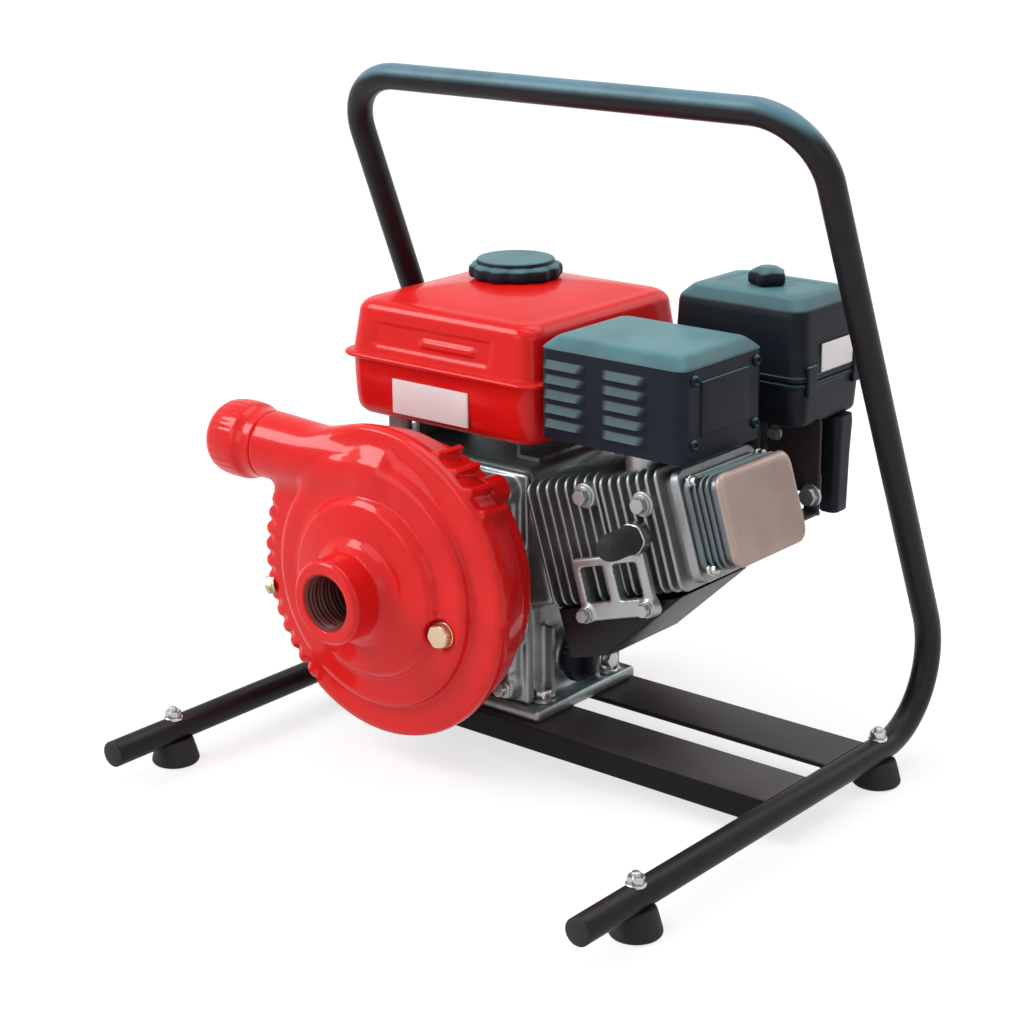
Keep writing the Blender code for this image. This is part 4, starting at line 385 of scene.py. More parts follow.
def finish(name, slot, colour, rough, bump=(0.25, 2.2, 0.3), metal=0, coat=(0, 0.08), mottle=0.1,
           mottle_scale=28, spread=0.02, dust=None, painted_sheen=None, specular=0.5):
    """A finish in object coordinates: the colour drifts with a slow noise, the roughness with a finer one,
    and a grain gives the bump, as strength, size and depth in millimetres. Dust is a tone in the hollows of
    the slow noise. The painted sheen is a painted reflection on faces that look up, from the mesh's upward
    attribute, and drifts with the slow noise. Both are an amount and a colour, and the coat is a weight and a
    roughness."""
    material = bpy.data.materials.new(name)
    SLOTS.setdefault(slot, material)
    tree = empty_tree(material)
    where = ("Vector", node(tree, "ShaderNodeTexCoord").outputs["Object"])

    def noise(scale, detail, *more):
        inputs = [where, ("Scale", scale), ("Detail", detail), *more]
        return node(tree, "ShaderNodeTexNoise", inputs).outputs["Fac"]
    slow = noise(mottle_scale, 5, ("Roughness", 0.6))
    fine = noise(mottle_scale * 4, 3)
    tone = node(tree, "ShaderNodeValToRGB", [("Fac", slow)])
    for element, place, scale in zip(tone.color_ramp.elements, (0.3, 0.7), (1 - mottle, 1 + mottle)):
        element.position = place
        element.color = (*[min(1, c * scale) for c in colour], 1)
    hue = tone.outputs["Color"]
    gloss = ranged(tree, fine, 0.3, 0.7, max(0.02, rough - spread), min(1, rough + spread))
    if dust:
        hue = mixed(tree, ranged(tree, slow, 0.5, 0.72, 0, dust[0]), hue, dust[1])
    # Painted sheen: a painted reflection mixed into the colour of faces that look up, as their upward
    # attribute says
    if painted_sheen:
        upward = node(tree, "ShaderNodeAttribute", attribute_name="upward").outputs["Fac"]
        amount = ranged(tree, upward, 0.35, 0.95, 0, painted_sheen[0], interpolation_type="SMOOTHSTEP")
        drift = ranged(tree, slow, 0.3, 0.6, 0.72, 1)
        hue = mixed(tree, maths(tree, "MULTIPLY", amount, drift), hue, painted_sheen[1])
    strength, size, depth = bump
    inputs = [("Height", noise(1000 / size, 2)), ("Strength", strength), ("Distance", depth / 1000)]
    relief = node(tree, "ShaderNodeBump", inputs).outputs["Normal"]
    shader = node(tree, "ShaderNodeBsdfPrincipled", [
        ("Base Color", hue), ("Roughness", gloss), ("Metallic", metal), ("Coat Weight", coat[0]),
        ("Coat Roughness", coat[1]), ("Normal", relief), ("Specular IOR Level", specular)])
    node(tree, "ShaderNodeOutputMaterial", [("Surface", shader.outputs["BSDF"])])
    return material


# The first finish of a slot is also that of the slot's CAD nodes
# Cool teal of the painted sheen: a painted reflection on the upward faces of the black plastics
COOL_PAINTED_SHEEN = (0.085, 0.205, 0.225)
BROWN_DUST = (0.075, 0.055, 0.055)
POWDER = dict(bump=(0.1, 1.6, 0.2), mottle=0.18)
PLATED = dict(bump=(0.15, 2.2, 0.2), mottle=0.12, metal=1)
RED_GLOSS = finish(
    "red_gloss", "red_enamel", (0.575, 0.007, 0.006), 0.34, (0.03, 7, 0.2), coat=(0.27, 0.06), mottle=0.05,
    specular=0.08)
RED_CAST = finish(
    "red_cast", "red_enamel", (0.585, 0.007, 0.007), 0.36, (0.08, 6, 0.3), coat=(0.35, 0.08), mottle=0.08,
    specular=0.08)
# A darkened red for the thread inside the suction mouth: painted shade for the inside of the bore
PAINTED_SHADE_RED = finish("red_painted_shade", "red_enamel", (0.1, 0.004, 0.004), 0.45, (0.1, 2.2, 0.3))
# The frame's black takes a painted cyan highlight on faces that look up, and the bearers a faint painted
# sheen on their tops
FRAME_BLACK = finish(
    "powder_black", "frame_black", (0.01, 0.0082, 0.01), 0.36, painted_sheen=(0.9, (0.095, 0.2, 0.25)),
    specular=0.17, **POWDER)
BEARER_BLACK = finish(
    "bearer_black", "frame_black", (0.006, 0.005, 0.006), 0.38, painted_sheen=(0.9, (0.06, 0.053, 0.057)),
    specular=0.1, **POWDER)
STAY_DARK = finish(
    "stay_dark", "frame_black", (0.04, 0.028, 0.029), 0.45, (0.1, 2.2, 0.3), mottle=0.3, specular=0.2)
PLASTIC = finish(
    "moulded_black", "black_plastic", (0.008, 0.01, 0.015), 0.42, (0.15, 0.9, 0.18), mottle=0.16,
    painted_sheen=(0.8, COOL_PAINTED_SHEEN), specular=0.13)
GUARD_BLACK = finish(
    "guard_black", "black_plastic", (0.007, 0.009, 0.017), 0.4, (0.15, 1, 0.2), mottle=0.16,
    painted_sheen=(0.95, COOL_PAINTED_SHEEN), specular=0.13)
RUBBER = finish(
    "rubber_black", "rubber", (0.015, 0.015, 0.016), 0.7, (0.3, 1.4, 0.3), mottle=0.2, specular=0.25)
# The cast grey takes a teal painted sheen on faces that look up: a painted reflection
ALUMINIUM = finish(
    "cast_grey", "cast_aluminium", (0.28, 0.285, 0.29), 0.42, (0.35, 1.8, 0.4), 0.85, mottle=0.16,
    mottle_scale=55, spread=0.06, dust=(0.48, BROWN_DUST), painted_sheen=(0.6, (0.2, 0.33, 0.34)))
# The rocker cover is one pressing in two tones: a warm tan lid painted as the lit face, and cool grey walls
# as painted shade with a teal painted reflection on their upward faces
ROCKER_LID_PAINTED_LIGHT = finish(
    "rocker_lid_painted_light", "rocker_silver", (0.34, 0.25, 0.22), 0.44, (0.15, 2, 0.3), 0.55,
    dust=(0.15, (0.26, 0.18, 0.14)))
ROCKER_WALL_PAINTED_SHADE = finish(
    "head_grey", "rocker_silver", (0.12, 0.145, 0.155), 0.4, (0.3, 1.8, 0.4), 0.8, mottle=0.18,
    mottle_scale=40, dust=(0.45, BROWN_DUST), painted_sheen=(0.6, (0.22, 0.33, 0.34)))
STEEL = finish("machined_steel", "steel", (0.31, 0.31, 0.32), 0.34, **PLATED)
ZINC = finish("bright_zinc", "zinc", (0.48, 0.48, 0.465), 0.3, **PLATED)
BRIGHT = finish(
    "bright_cast", "zinc", (0.36, 0.37, 0.37), 0.36, (0.25, 1.6, 0.3), 0.8, mottle=0.14,
    dust=(0.25, (0.16, 0.15, 0.15)))
PLATE = finish("blank_plate", "zinc", (0.7, 0.65, 0.66), 0.4, (0.08, 1, 0.1), mottle=0.06)
BRASS = finish("pale_brass", "brass", (0.64, 0.47, 0.32), 0.32, (0.15, 2.2, 0.2), 0.9)
finish("carbon_seal", "carbon", (0.03, 0.03, 0.03), 0.5, mottle=0.2)
finish("filter_foam", "foam", (0.05, 0.05, 0.05), 0.95, (0.8, 1.2, 1), mottle=0.4)
CERAMIC = finish(
    "glazed_white", "ceramic", (0.7, 0.7, 0.67), 0.18, (0.05, 2.2, 0.3), coat=(0.5, 0.08), mottle=0.03)
LINE = finish(
    "braided_line", "black_plastic", (0.1, 0.1, 0.105), 0.8, (0.6, 2, 0.5), mottle=0.3,
    mottle_scale=300)


# Putting pieces in the scene

def part_place(points):
    """Points of the drawing in the part's axes, in metres."""
    return ((np.asarray(points) + SHIFT) / 1000).tolist()


def added(name, data):
    """A new object in the scene."""
    thing = bpy.data.objects.new(name, data)
    bpy.context.scene.collection.objects.link(thing)
    return thing


def put(name, shape, material, instead_of=None, body="root", sharp=38, high_painted_sheen=False):
    """A mesh piece that rides a body, if one is named, stands for a CAD node and takes its finish's slot.
    With the high flag, the painted sheen, a painted highlight, shows only on faces that lie high up."""
    points, faces = shape
    mesh = bpy.data.meshes.new(name)
    mesh.from_pydata(part_place(points), [], faces)
    edit = bmesh.new()
    edit.from_mesh(mesh)
    bmesh.ops.remove_doubles(edit, verts=edit.verts, dist=1e-6)
    bmesh.ops.recalc_face_normals(edit, faces=edit.faces)
    edit.to_mesh(mesh)
    edit.free()
    mesh.shade_smooth()
    mesh.set_sharp_from_angle(angle=radians(sharp))
    mesh.materials.append(material)
    # The upward attribute drives the painted sheen: the normal's rise, and with the high flag only above a
    # height
    upward = np.array([normal.vector.z for normal in mesh.corner_normals], np.float32)
    if high_painted_sheen:
        start, length = 0.44, 0.04
        height = np.array([mesh.vertices[loop.vertex_index].co.z for loop in mesh.loops], np.float32)
        upward = (upward + 0.35) * fade(height, start, length)
    mesh.attributes.new("upward", "FLOAT", "CORNER").data.foreach_set("value", upward)
    piece = added(name, mesh)
    if body:
        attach(piece, body)
    if instead_of:
        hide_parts(instead_of)
    return piece


def shaft_spot(radius, angle, h):
    """A point at a radius and angle about the crank axis, h in front of the engine's drive face."""
    return np.array((CRANK_X + radius * cos(angle), PTO_Y - h, CRANK_Z + radius * sin(angle)))


def shaft_frame(p):
    """Radius, height and angle of points about the crank axis."""
    x, z = p[:, 0] - CRANK_X, p[:, 2] - CRANK_Z
    return np.hypot(x, z), PTO_Y - p[:, 1], np.arctan2(z, x)


def cylinder_spot(d, y, t):
    """Points at a distance from the crank and a rise along the leaning cylinder."""
    return np.stack((CRANK_X + d * TILT_COS - t * TILT_SIN, y, CRANK_Z + d * TILT_SIN + t * TILT_COS), -1)


def up_cylinder(shape):
    """A shape drawn as (distance from the crank, across, rise) laid along the leaning cylinder."""
    points, faces = shape
    return cylinder_spot(*points.T), faces


def in_cylinder(p):
    """Points as (distance from the crank, across, rise) in the leaning cylinder's axes."""
    x, z = p[:, 0] - CRANK_X, p[:, 2] - CRANK_Z
    return np.column_stack((x * TILT_COS + z * TILT_SIN, p[:, 1], z * TILT_COS - x * TILT_SIN))


# Carrying frame

def carrying_frame():
    """A rod of the tube's radius along the bent path of rails, uprights and handle, with softened ends."""
    corners = [(-RAIL_X, RAIL_FRONT_Y, RAIL_Z), (-RAIL_X, 247.3, RAIL_Z), (-202, 56.9, 481)]
    corners += [(-x, y, z) for x, y, z in corners[::-1]]
    path = bent(corners, (60, 50, 50, 60))
    lead = np.array([(0, 0.4, 0), (0, 1, 0)])
    path = np.vstack((path[:1], path[0] + lead, path[1:-1], path[-1] + lead[::-1], path[-1:]))
    radius = np.full(len(path), TUBE_R)
    radius[[0, -1]] -= 1
    radius[[1, -2]] -= 0.3
    # The pipe's painted highlight shows only high up, along the handle bar
    put("frame_pipe", sweep(path, radius, 44), FRAME_BLACK, "frame_tube", high_painted_sheen=True)


def tube_plugs():
    """A plug head in each rail end: a turned profile with a flat lip and a low dome."""
    profile = [(0, 2.8), (4, 2.6), (8, 1.8), (9.4, 1), (9.6, 0), (0, 0)]
    for name, x in SIDES:
        head = turned(profile, 0.6, 4, 40, (x, RAIL_FRONT_Y, RAIL_Z), FRONT)
        put(f"rail_end_{name}", head, RUBBER, f"tube_plug_{name}")


def feet():
    """Turned rubber feet with a groove, their tops cut to the underside of the rail, and studs with nuts."""
    profile = [(0, 0), (16, 0), (17.5, 2), (16.6, 6.2), (16, 6.8), (16.2, 7.6), (15, 12), (13.6, 17),
               (12.8, 18.5), (0, 18.5)]
    stud = [(0, 0), (2.9, 0), (2.9, 9), (0, 9.6)]
    for row, y in zip(("front", "rear"), FOOT_Y):
        for side, x in SIDES:
            points, faces = turned(profile, 1, 4, 56)
            under = RAIL_Z - np.sqrt(np.maximum((TUBE_R + 0.2) ** 2 - points[:, 0] ** 2, 0))
            points[:, 2] = np.minimum(points[:, 2], under)
            points += (x, y, 0)
            put(f"foot_{row}_{side}_rubber", (points, faces), RUBBER, f"foot_{row}_{side}")
            top = (x, y, RAIL_Z + TUBE_R - 1.2)
            nut = joined(bolt(top, UP, 10.8, 4.8, 6.8, 0.3), turned(stud, 0.8, 4, 20, top))
            put(f"stud_nut_{row}_{side}", nut, ZINC, f"foot_stud_{row}_{side}")


def bearers():
    """Folded angles between the rails, an outline of Y and Z carried along X, and rippled weld beads."""
    top, under, lip_low, sheet = 34, 30, 15, 4
    weld_x, weld_z = RAIL_X - TUBE_R * 0.98, RAIL_Z + 6.8
    for name, lip_y, edge_y in (("front_bearer", 14, 64), ("rear_bearer", 138.5, 88.5)):
        inner_y = lip_y + (sheet if edge_y > lip_y else -sheet)
        corners = [(lip_y, top), (lip_y, lip_low), (inner_y, lip_low), (inner_y, under), (edge_y, under),
                   (edge_y, top)]
        outline = rounded(corners, 1.4, 5, True)
        x = np.repeat(np.linspace(-206, 206, 12)[:, None, None], len(outline), 1)
        shapes = [skin(np.concatenate((x, np.repeat(outline[None], 12, 0)), -1))]
        t = np.linspace(0, 1, 60)
        low, high = sorted((lip_y, edge_y))
        for x in (-weld_x, weld_x):
            path = np.column_stack((0 * t + x, low + 1 + (high - low - 2) * t, 0 * t + weld_z))
            shapes.append(sweep(path, 1.9 + 0.4 * np.sin(t * 95), 10))
        put(f"{name}_angle", joined(*shapes), BEARER_BLACK, name)


def engine_bolts():
    """Flanged hexagon bolts that hold the engine's foot flange."""
    spots = [(x, y, 44.6) for y in (39, 113.5) for x in (-167, -5)]
    for i, spot in enumerate(spots, 1):
        put(f"engine_bolt_head_{i}", bolt(spot, UP, 12.5, 6.6, 9.8, 0.4 * i), ZINC, f"engine_bolt_{i}")


# Pump

CASING_OUTLINE = [
    (-20, 110), (27.8, 110), (30, 107.8), (30.3, 87), (34.5, 81.5), (40, 78), (52, 75.8), (61.5, 73.8),
    (65, 70.5), (66.8, 67.2), (72, 66.2), (85, 65.6), (88.5, 64), (89.5, 59.5), (91, 57.5), (109, 56.8),
    (112.8, 55.3), (114, 52), (113.8, 47), (106.2, CASING_BACK_H), (-20, CASING_BACK_H)]
CHAMBER_OUTLINE = [(-20, 10), (88, 10), (88, 44), (82, 50), (40, 56.3), (20.8, 68.3), (20.8, 200), (-20, 200)]


def d_casing(p):
    """Distance to the pump casing: a turned body with a toothed rim and outer ribs, a scroll tube that grows
    into the discharge horn, and the chamber, bores and spot face taken out."""
    r, h, angle = shaft_frame(p)
    body = d_turned(r, h, CASING_OUTLINE) - 0.5
    rim = fade(r, 102, 6) * fade(-h, -60, 4)
    left = fade(np.cos(angle - radians(196)), 0.74, 0.1)
    body = body + 2.6 * rim * left * ripple(angle, 54)
    for degrees in (36, 45, 54, 63):
        across = np.abs((angle - radians(degrees)) * r) - 2.1
        rib = np.maximum(np.maximum(across, np.abs(h - 36) - 13.5), np.maximum(r - 116.5, 100 - r))
        body = blend(body, rib, 3.5)
    start, end = radians(22), radians(90)
    along = np.clip(angle, start, end)
    growth = (along - start) / (end - start)
    reach = HORN_Z - CRANK_Z
    across = np.hypot(p[:, 0] - CRANK_X - reach * np.cos(along), p[:, 2] - CRANK_Z - reach * np.sin(along))
    body = blend(body, np.hypot(across, p[:, 1] - HORN_Y) - (12 + 8.8 * growth), 8)
    horn = d_rod(p, (CRANK_X + 14, HORN_Y, HORN_Z), (HORN_END_X, HORN_Y, HORN_Z), 19.6, 25.2)
    lug = d_rod(p, shaft_spot(106.5, LUG_ANGLE, CASING_BACK_H), shaft_spot(106.5, LUG_ANGLE, 36), 11.5)
    body = blend(blend(body, horn, 10), lug, 6)
    bore = d_rod(p, (CRANK_X - 10, HORN_Y, HORN_Z), (HORN_END_X - 20, HORN_Y, HORN_Z), 16.5)
    body = carve(carve(body, d_turned(r, h, CHAMBER_OUTLINE), 1), bore, 1)
    body = carve(body, d_rod(p, shaft_spot(72, PLUG_ANGLE, 64.4), shaft_spot(72, PLUG_ANGLE, 84.4), 11.2), 2)
    return np.maximum(body, p[:, 1] - (PTO_Y - CASING_BACK_H))


def d_adapter(p):
    """Distance to the round adapter plate with its bolt lugs and shaft hole."""
    r, h, _ = shaft_frame(p)
    plate = d_turned(r, h, [(12.5, 0.5), (94.5, 0.5), (94.5, 21.7), (12.5, 21.7)]) - 0.5
    for angle in (radians(46), radians(150), radians(228), LUG_ANGLE):
        plate = blend(plate, d_rod(p, shaft_spot(98, angle, 1), shaft_spot(98, angle, 21.8), 10.5), 6)
    return plate


def pump():
    """The casing as the zero of its distance, the thread of the mouth, adapter, coupling and plugs."""
    body = cast(d_casing, (-205, -103.5, 20), (38, -10.5, 262), 1.6)
    put("pump_body", body, RED_CAST, "pump_casing", sharp=60)
    t = np.linspace(0, 1, 50)
    zigzag = np.column_stack((19.3 + 0.6 * np.cos(t * 2 * pi * 9), 76 + 33 * t))
    thread = lathe(np.vstack((zigzag, [(21.2, 109.2), (21.2, 76)])), 72, True)
    # The mouth thread is in darkened red: painted shade inside the bore
    put("mouth_thread", placed(thread, (CRANK_X, PTO_Y, CRANK_Z), FRONT), PAINTED_SHADE_RED)
    put("pump_back", cast(d_adapter, (-205, -16, 22), (34, 14, 256), 1.8), RED_CAST, "pump_adapter", sharp=55)
    barrel = [(16.8, 0), (25, 0), (25.2, 7), (26.2, 11), (28.4, 15), (29, 21), (28.8, 31), (27.6, 39),
              (24.6, 44.2), (21.5, 46), (18.8, 46), (18.2, 20), (16.8, 17)]

    def grip(a, h, r):
        return -0.3 * fade(h, 16.5, 3) * fade(-h, -40, 3) * (r > 25.5) * ripple(a, 30)
    mouth = (HORN_END_X - 0.3, HORN_Y, HORN_Z)
    barrel = turned(barrel, 2.2, 6, 240, mouth, LEFT, True, grip)
    put("coupling_barrel", barrel, RED_CAST, "discharge_coupling", sharp=50)
    put("priming_plug_head", bolt(shaft_spot(72, PLUG_ANGLE, 64), FRONT, 16, 6.8, 9.2, 0.2), BRASS,
        "priming_plug", "priming_plug")
    put("drain_plug_head", bolt((CRANK_X, -31.2, CRANK_Z - 108.5), DOWN, 14.8, 6.2, 8.6), BRASS, "drain_plug")
    side = radians(193)
    put("side_plug", bolt(shaft_spot(108.5, side, 52.5), (cos(side), -0.45, sin(side)), 13.6, 6, 8), BRASS)


carrying_frame()
tube_plugs()
feet()
bearers()
engine_bolts()
pump()


# Fuel tank and cap

TANK = (-175, 3, 20, 199)
CAP_PLACE = (-95, 121, 333.4)


def panel(u, low, high, soft):
    """One between low and high with soft edges inside them, else nil."""
    return fade(u, low, soft) * fade(-u, -high, soft)


def fuel_tank():
    """A pressed tank: rounded rectangles whose inset follows floor radius, lower wall, seam lip, upper wall,
    shoulder arc and crown. The front's upper wall carries a shallow pressed panel with a raised bar."""
    floor = [(85, 236.5), (30, 236.5), (16, 236.6), (10, 237.2), (5.5, 239), (2.8, 242), (1.5, 246),
             (0.8, 254), (0.3, 268), (0, 279.8)]
    lip = [(-0.6, 281), (-4, 281.6), (-5, 282.4), (-5.3, 283.3), (-5, 284.2), (-4, 285), (-0.6, 285.6),
           (0, 286.8)]
    wall = [(3.6 * t, 286.8 + 26.2 * t) for t in np.linspace(0.03, 1, 30)]
    a = np.linspace(0.08, 1, 12) * pi / 2
    shoulder = [(3.6 + 10.5 * (1 - cos(v)), 313 + 10.5 * sin(v)) for v in a]
    crown = [(14.1 + 70.9 * t, 323.5 + 9.8 * (1 - (1 - t) ** 2)) for t in np.linspace(0.06, 1, 14)]
    inset, z = np.array(floor + lip + wall + shoulder + crown).T
    rings = inset_rings(TANK, inset, np.maximum(16.5 - inset * 0.22, 3.5), z, 70, 12)
    x, y, height = np.moveaxis(rings, -1, 0)
    face = (y < TANK[2] + 6) & (height > 287)
    press = panel(x, -150, -34, 5) * panel(height, 289.5, 310.5, 4)
    bar = panel(x, -104, -50, 4) * panel(height, 295, 303, 2.5)
    rings[..., 1] = y + np.where(face, 1.6 * press - 2.2 * bar, 0)
    put("tank_shell", skin(rings), RED_GLOSS, "fuel_tank", sharp=48)
    put("tank_plate", block((-128, 19, 244.5), (-56, 20.7, 270), 0.5, 3, 10), PLATE)
    put("tank_stay", block((-147, 34, 216.5), (-127, 40, 237.2), 1.2, 2), ALUMINIUM)


def fuel_cap():
    """A turned cap with a flat top disc and a scalloped skirt, its radius falling by a raised cosine of the
    angle, and the neck under it."""
    profile = [(0, 13.4), (10, 13.5), (27, 13.5), (28.8, 12.8), (29.2, 10), (32.5, 9.2), (34.6, 7.6), (35, 3),
               (34.2, 0), (0, 0)]

    def scallop(a, h, r):
        return -2.2 * ripple(a, 12) * fade(r, 29, 4)
    cap = turned(profile, 1.6, 6, 240, CAP_PLACE, wave=scallop)
    put("fuel_cap_moulding", cap, PLASTIC, "fuel_cap", "fuel_cap")
    neck = [(20, 324), (30, 324), (30, 332.2), (28.5, 333.2), (20, 333.2)]
    put("filler_neck", turned(neck, 0.8, 4, 64, (*CAP_PLACE[:2], 0), loop=True), RED_GLOSS)


fuel_tank()
fuel_cap()


# Muffler guard and air cleaner

GUARD = (8, 130, 20, 115)
CLEANER = (33, 145, 137, 221)


def muffler_guard():
    """A pressed box: rounded rectangles with a bevel at the top edge. On the front each louvre leans out
    linearly as it goes down and falls back at its lower edge."""
    low, high, rows = 250, 313.5, 150
    top = rounded([(0, high), (1.2, 315), (8, 321.2), (12, 321.9), (44, 322.2)], 3, 6)[1:]
    z = np.concatenate((np.linspace(low, high, rows), top[:, 1]))
    inset = np.concatenate((np.zeros(rows), top[:, 0]))
    rings = inset_rings(GUARD, inset, np.maximum(8.5 - 0.2 * inset, 2), z, 130, 9)
    x, y, height = np.moveaxis(rings, -1, 0)
    out = np.zeros_like(x)
    first, pitch, tall, half_width = 306.2, 10.4, 5.6, 19
    for centre in (30, 81.2):
        across = np.sqrt(fade(half_width - np.abs(x - centre), 0, 6))
        for row in range(5):
            s = (first - pitch * row - height) / tall
            out = np.maximum(out, np.where((s >= 0) & (s <= 1), s, 0) * across)
    rings[..., 1] = np.where(y < GUARD[2] + 1, y - 4 * out, y)
    put("guard_shell", skin(rings), GUARD_BLACK, "muffler_guard", sharp=36)
    dish = block((128.8, 40, 266), (131.2, 96, 304), 1, 6)
    heads = [screw((130, y, z), RIGHT) for y in (32, 104) for z in (262, 306)]
    put("guard_side", joined(dish, *heads), GUARD_BLACK)


def air_cleaner():
    """Moulded case and cover as rounded rectangles: a straight lower shell, a parting groove, a skirt and a
    narrow bevel up to a nearly flat top with a shallow tray round the knob. The duct is a tube of them."""
    case = [(36, 250), (6, 250.2), (3, 251.2), (1.6, 254), (0.6, 270), (0.2, 279), (-0.8, 279.6), (-1, 282.2),
            (3, 282.4), (36, 282.4)]
    cover = [(36, 283.6), (3, 283.6), (-1, 283.8), (-1.2, 287), (-0.2, 288), (0.3, 298), (1.2, 312), (2, 329),
             (3, 333), (10, 340), (14, 341.4), (22, 342), (24, 341.2), (26, 341), (38, 341)]
    for part, profile in (("case", case), ("cover", cover)):
        inset, z = rounded(profile, 1.4, 5).T
        rings = inset_rings(CLEANER, inset, np.maximum(12 - 0.3 * inset, 3), z, 16, 10)
        put(f"cleaner_{part}", skin(rings), PLASTIC, f"air_cleaner_{part}", sharp=50)
    clips = [block((144.6, y - 6, 273), (147.4, y + 6, 295), 0.8, 1.2) for y in (150, 209)]
    put("cleaner_clips", joined(*clips), PLASTIC)
    put("cleaner_plate", block((144.6, 163, 288), (145.9, 203, 308), 0.4, 3), PLATE)
    knob = [(0, 12.2), (6, 12.2), (8.5, 10.8), (12, 8.5), (12.8, 4), (12, 0), (0, 0)]

    def lobes(a, h, r):
        return 1.4 * np.cos(5 * a) * fade(r, 6, 6)
    put("cleaner_knob", turned(knob, 1.4, 5, 120, (90, 177, 341.6), wave=lobes), PLASTIC, "air_cleaner_knob",
        "air_cleaner_knob")
    duct = [(4, 178), (2.4, 178), (1.8, 179), (1.6, 190), (1, 220), (0, 244), (0.4, 249.7), (9, 249.7)]
    inset, z = np.array(duct).T
    outer = inset_rings((128, 147, 186, 208), inset, 5.5 - inset * 0.4, z)
    inner = rings_of(132.6, 142.4, 190.6, 203.4, 3, (244, 178))
    tube = skin(np.concatenate((inner, outer)))
    # The high flag keeps the painted sheen off this low duct
    put("intake_duct", tube, PLASTIC, "air_intake_duct", sharp=50, high_painted_sheen=True)


muffler_guard()
air_cleaner()


# Engine

COVER_BOLTS = [(-152, 58), (-20, 58), (-156, 131), (-16, 100), (-16, 160), (-152, 205), (-20, 205),
               (-86, 208), (-86, 54)]
ROCKER_BOX = (26, 114, -34, 34)
ROCKER_D = 229.6


def plates(starts, thick, half_across, half_rise, edge, corner):
    """Rounded plates of one size, square to the cylinder and about its axis, at distances from the crank."""
    shapes = []
    for d in starts:
        low = (CYLINDER_Y - half_across, -half_rise, d)
        high = (CYLINDER_Y + half_across, half_rise, d + thick)
        points, faces = block(low, high, edge, corner, 10)
        shapes.append(up_cylinder((points[:, [2, 0, 1]], faces)))
    return shapes


def rocker_skin(profile, edge, steps):
    """A stack of rounded rectangles on the head, from a profile of inset and distance."""
    inset, d = rounded(profile, edge, steps).T
    rings = inset_rings(ROCKER_BOX, inset, np.maximum(10 - 0.25 * inset, 3), d + ROCKER_D, 10, 9)
    return up_cylinder(skin(rings[..., [2, 0, 1]]))


def d_crankcase(p):
    """Distance to the crankcase: a rounded box on a foot flange with ribs, a raised left side, the barrel and
    the oil neck."""
    body = blend(d_box(p, (-164, 30.6, 34.3), (-8, 135.6, 218), 10),
                 d_box(p, (-179, 18.6, 34.3), (7, 135.3, 44), 3), 6)
    for y in (45, 98, 122):
        for x in (-164, -8):
            body = blend(body, d_box(p, (x - 10, y - 2, 40), (x + 9, y + 2, 100), 1.5), 4)
    body = blend(body, d_box(p, (-167.2, 46, 116), (-155, 121, 204), 3), 3)
    q = in_cylinder(p)
    body = blend(body, d_box(q, (60, 26, -44), (94, 114, 44), 6), 6)
    body = blend(body, d_rod(q, (30, CYLINDER_Y, 0), (163, CYLINDER_Y, 0), 43), 6)
    body = blend(body, d_rod(p, (-30, CYLINDER_Y, 72), (-1, CYLINDER_Y, 72), 18.5), 6)
    return blend(body, d_rod(p, (-30, 110, 56), (-2, 110, 56), 10), 4)


def d_cover(p):
    """Distance to the side cover: a raised plate on an edge flange, bolt bosses and ribs about the shaft."""
    body = blend(d_box(p, (-160, 15, 48.3), (-12, 30.3, 214), 6),
                 d_box(p, (-166, 23.5, 44.3), (-6, 30.3, 218), 2), 3)
    r, h, angle = shaft_frame(p)
    reach = np.maximum(np.abs(p[:, 1] - 19) - 6.2, r - 100)
    rib = np.maximum(np.abs(spokes(angle, 8) * r) - 2.2, reach)
    body = blend(body, np.maximum(rib, d_box(p, (-158, 10, 50.3), (-14, 30, 212), 4)), 3)
    for x, z in COVER_BOLTS:
        body = blend(body, d_rod(p, (x, 30.3, z), (x, 12, z), 8.5), 3)
    return np.maximum(body, 10.3 - p[:, 1])


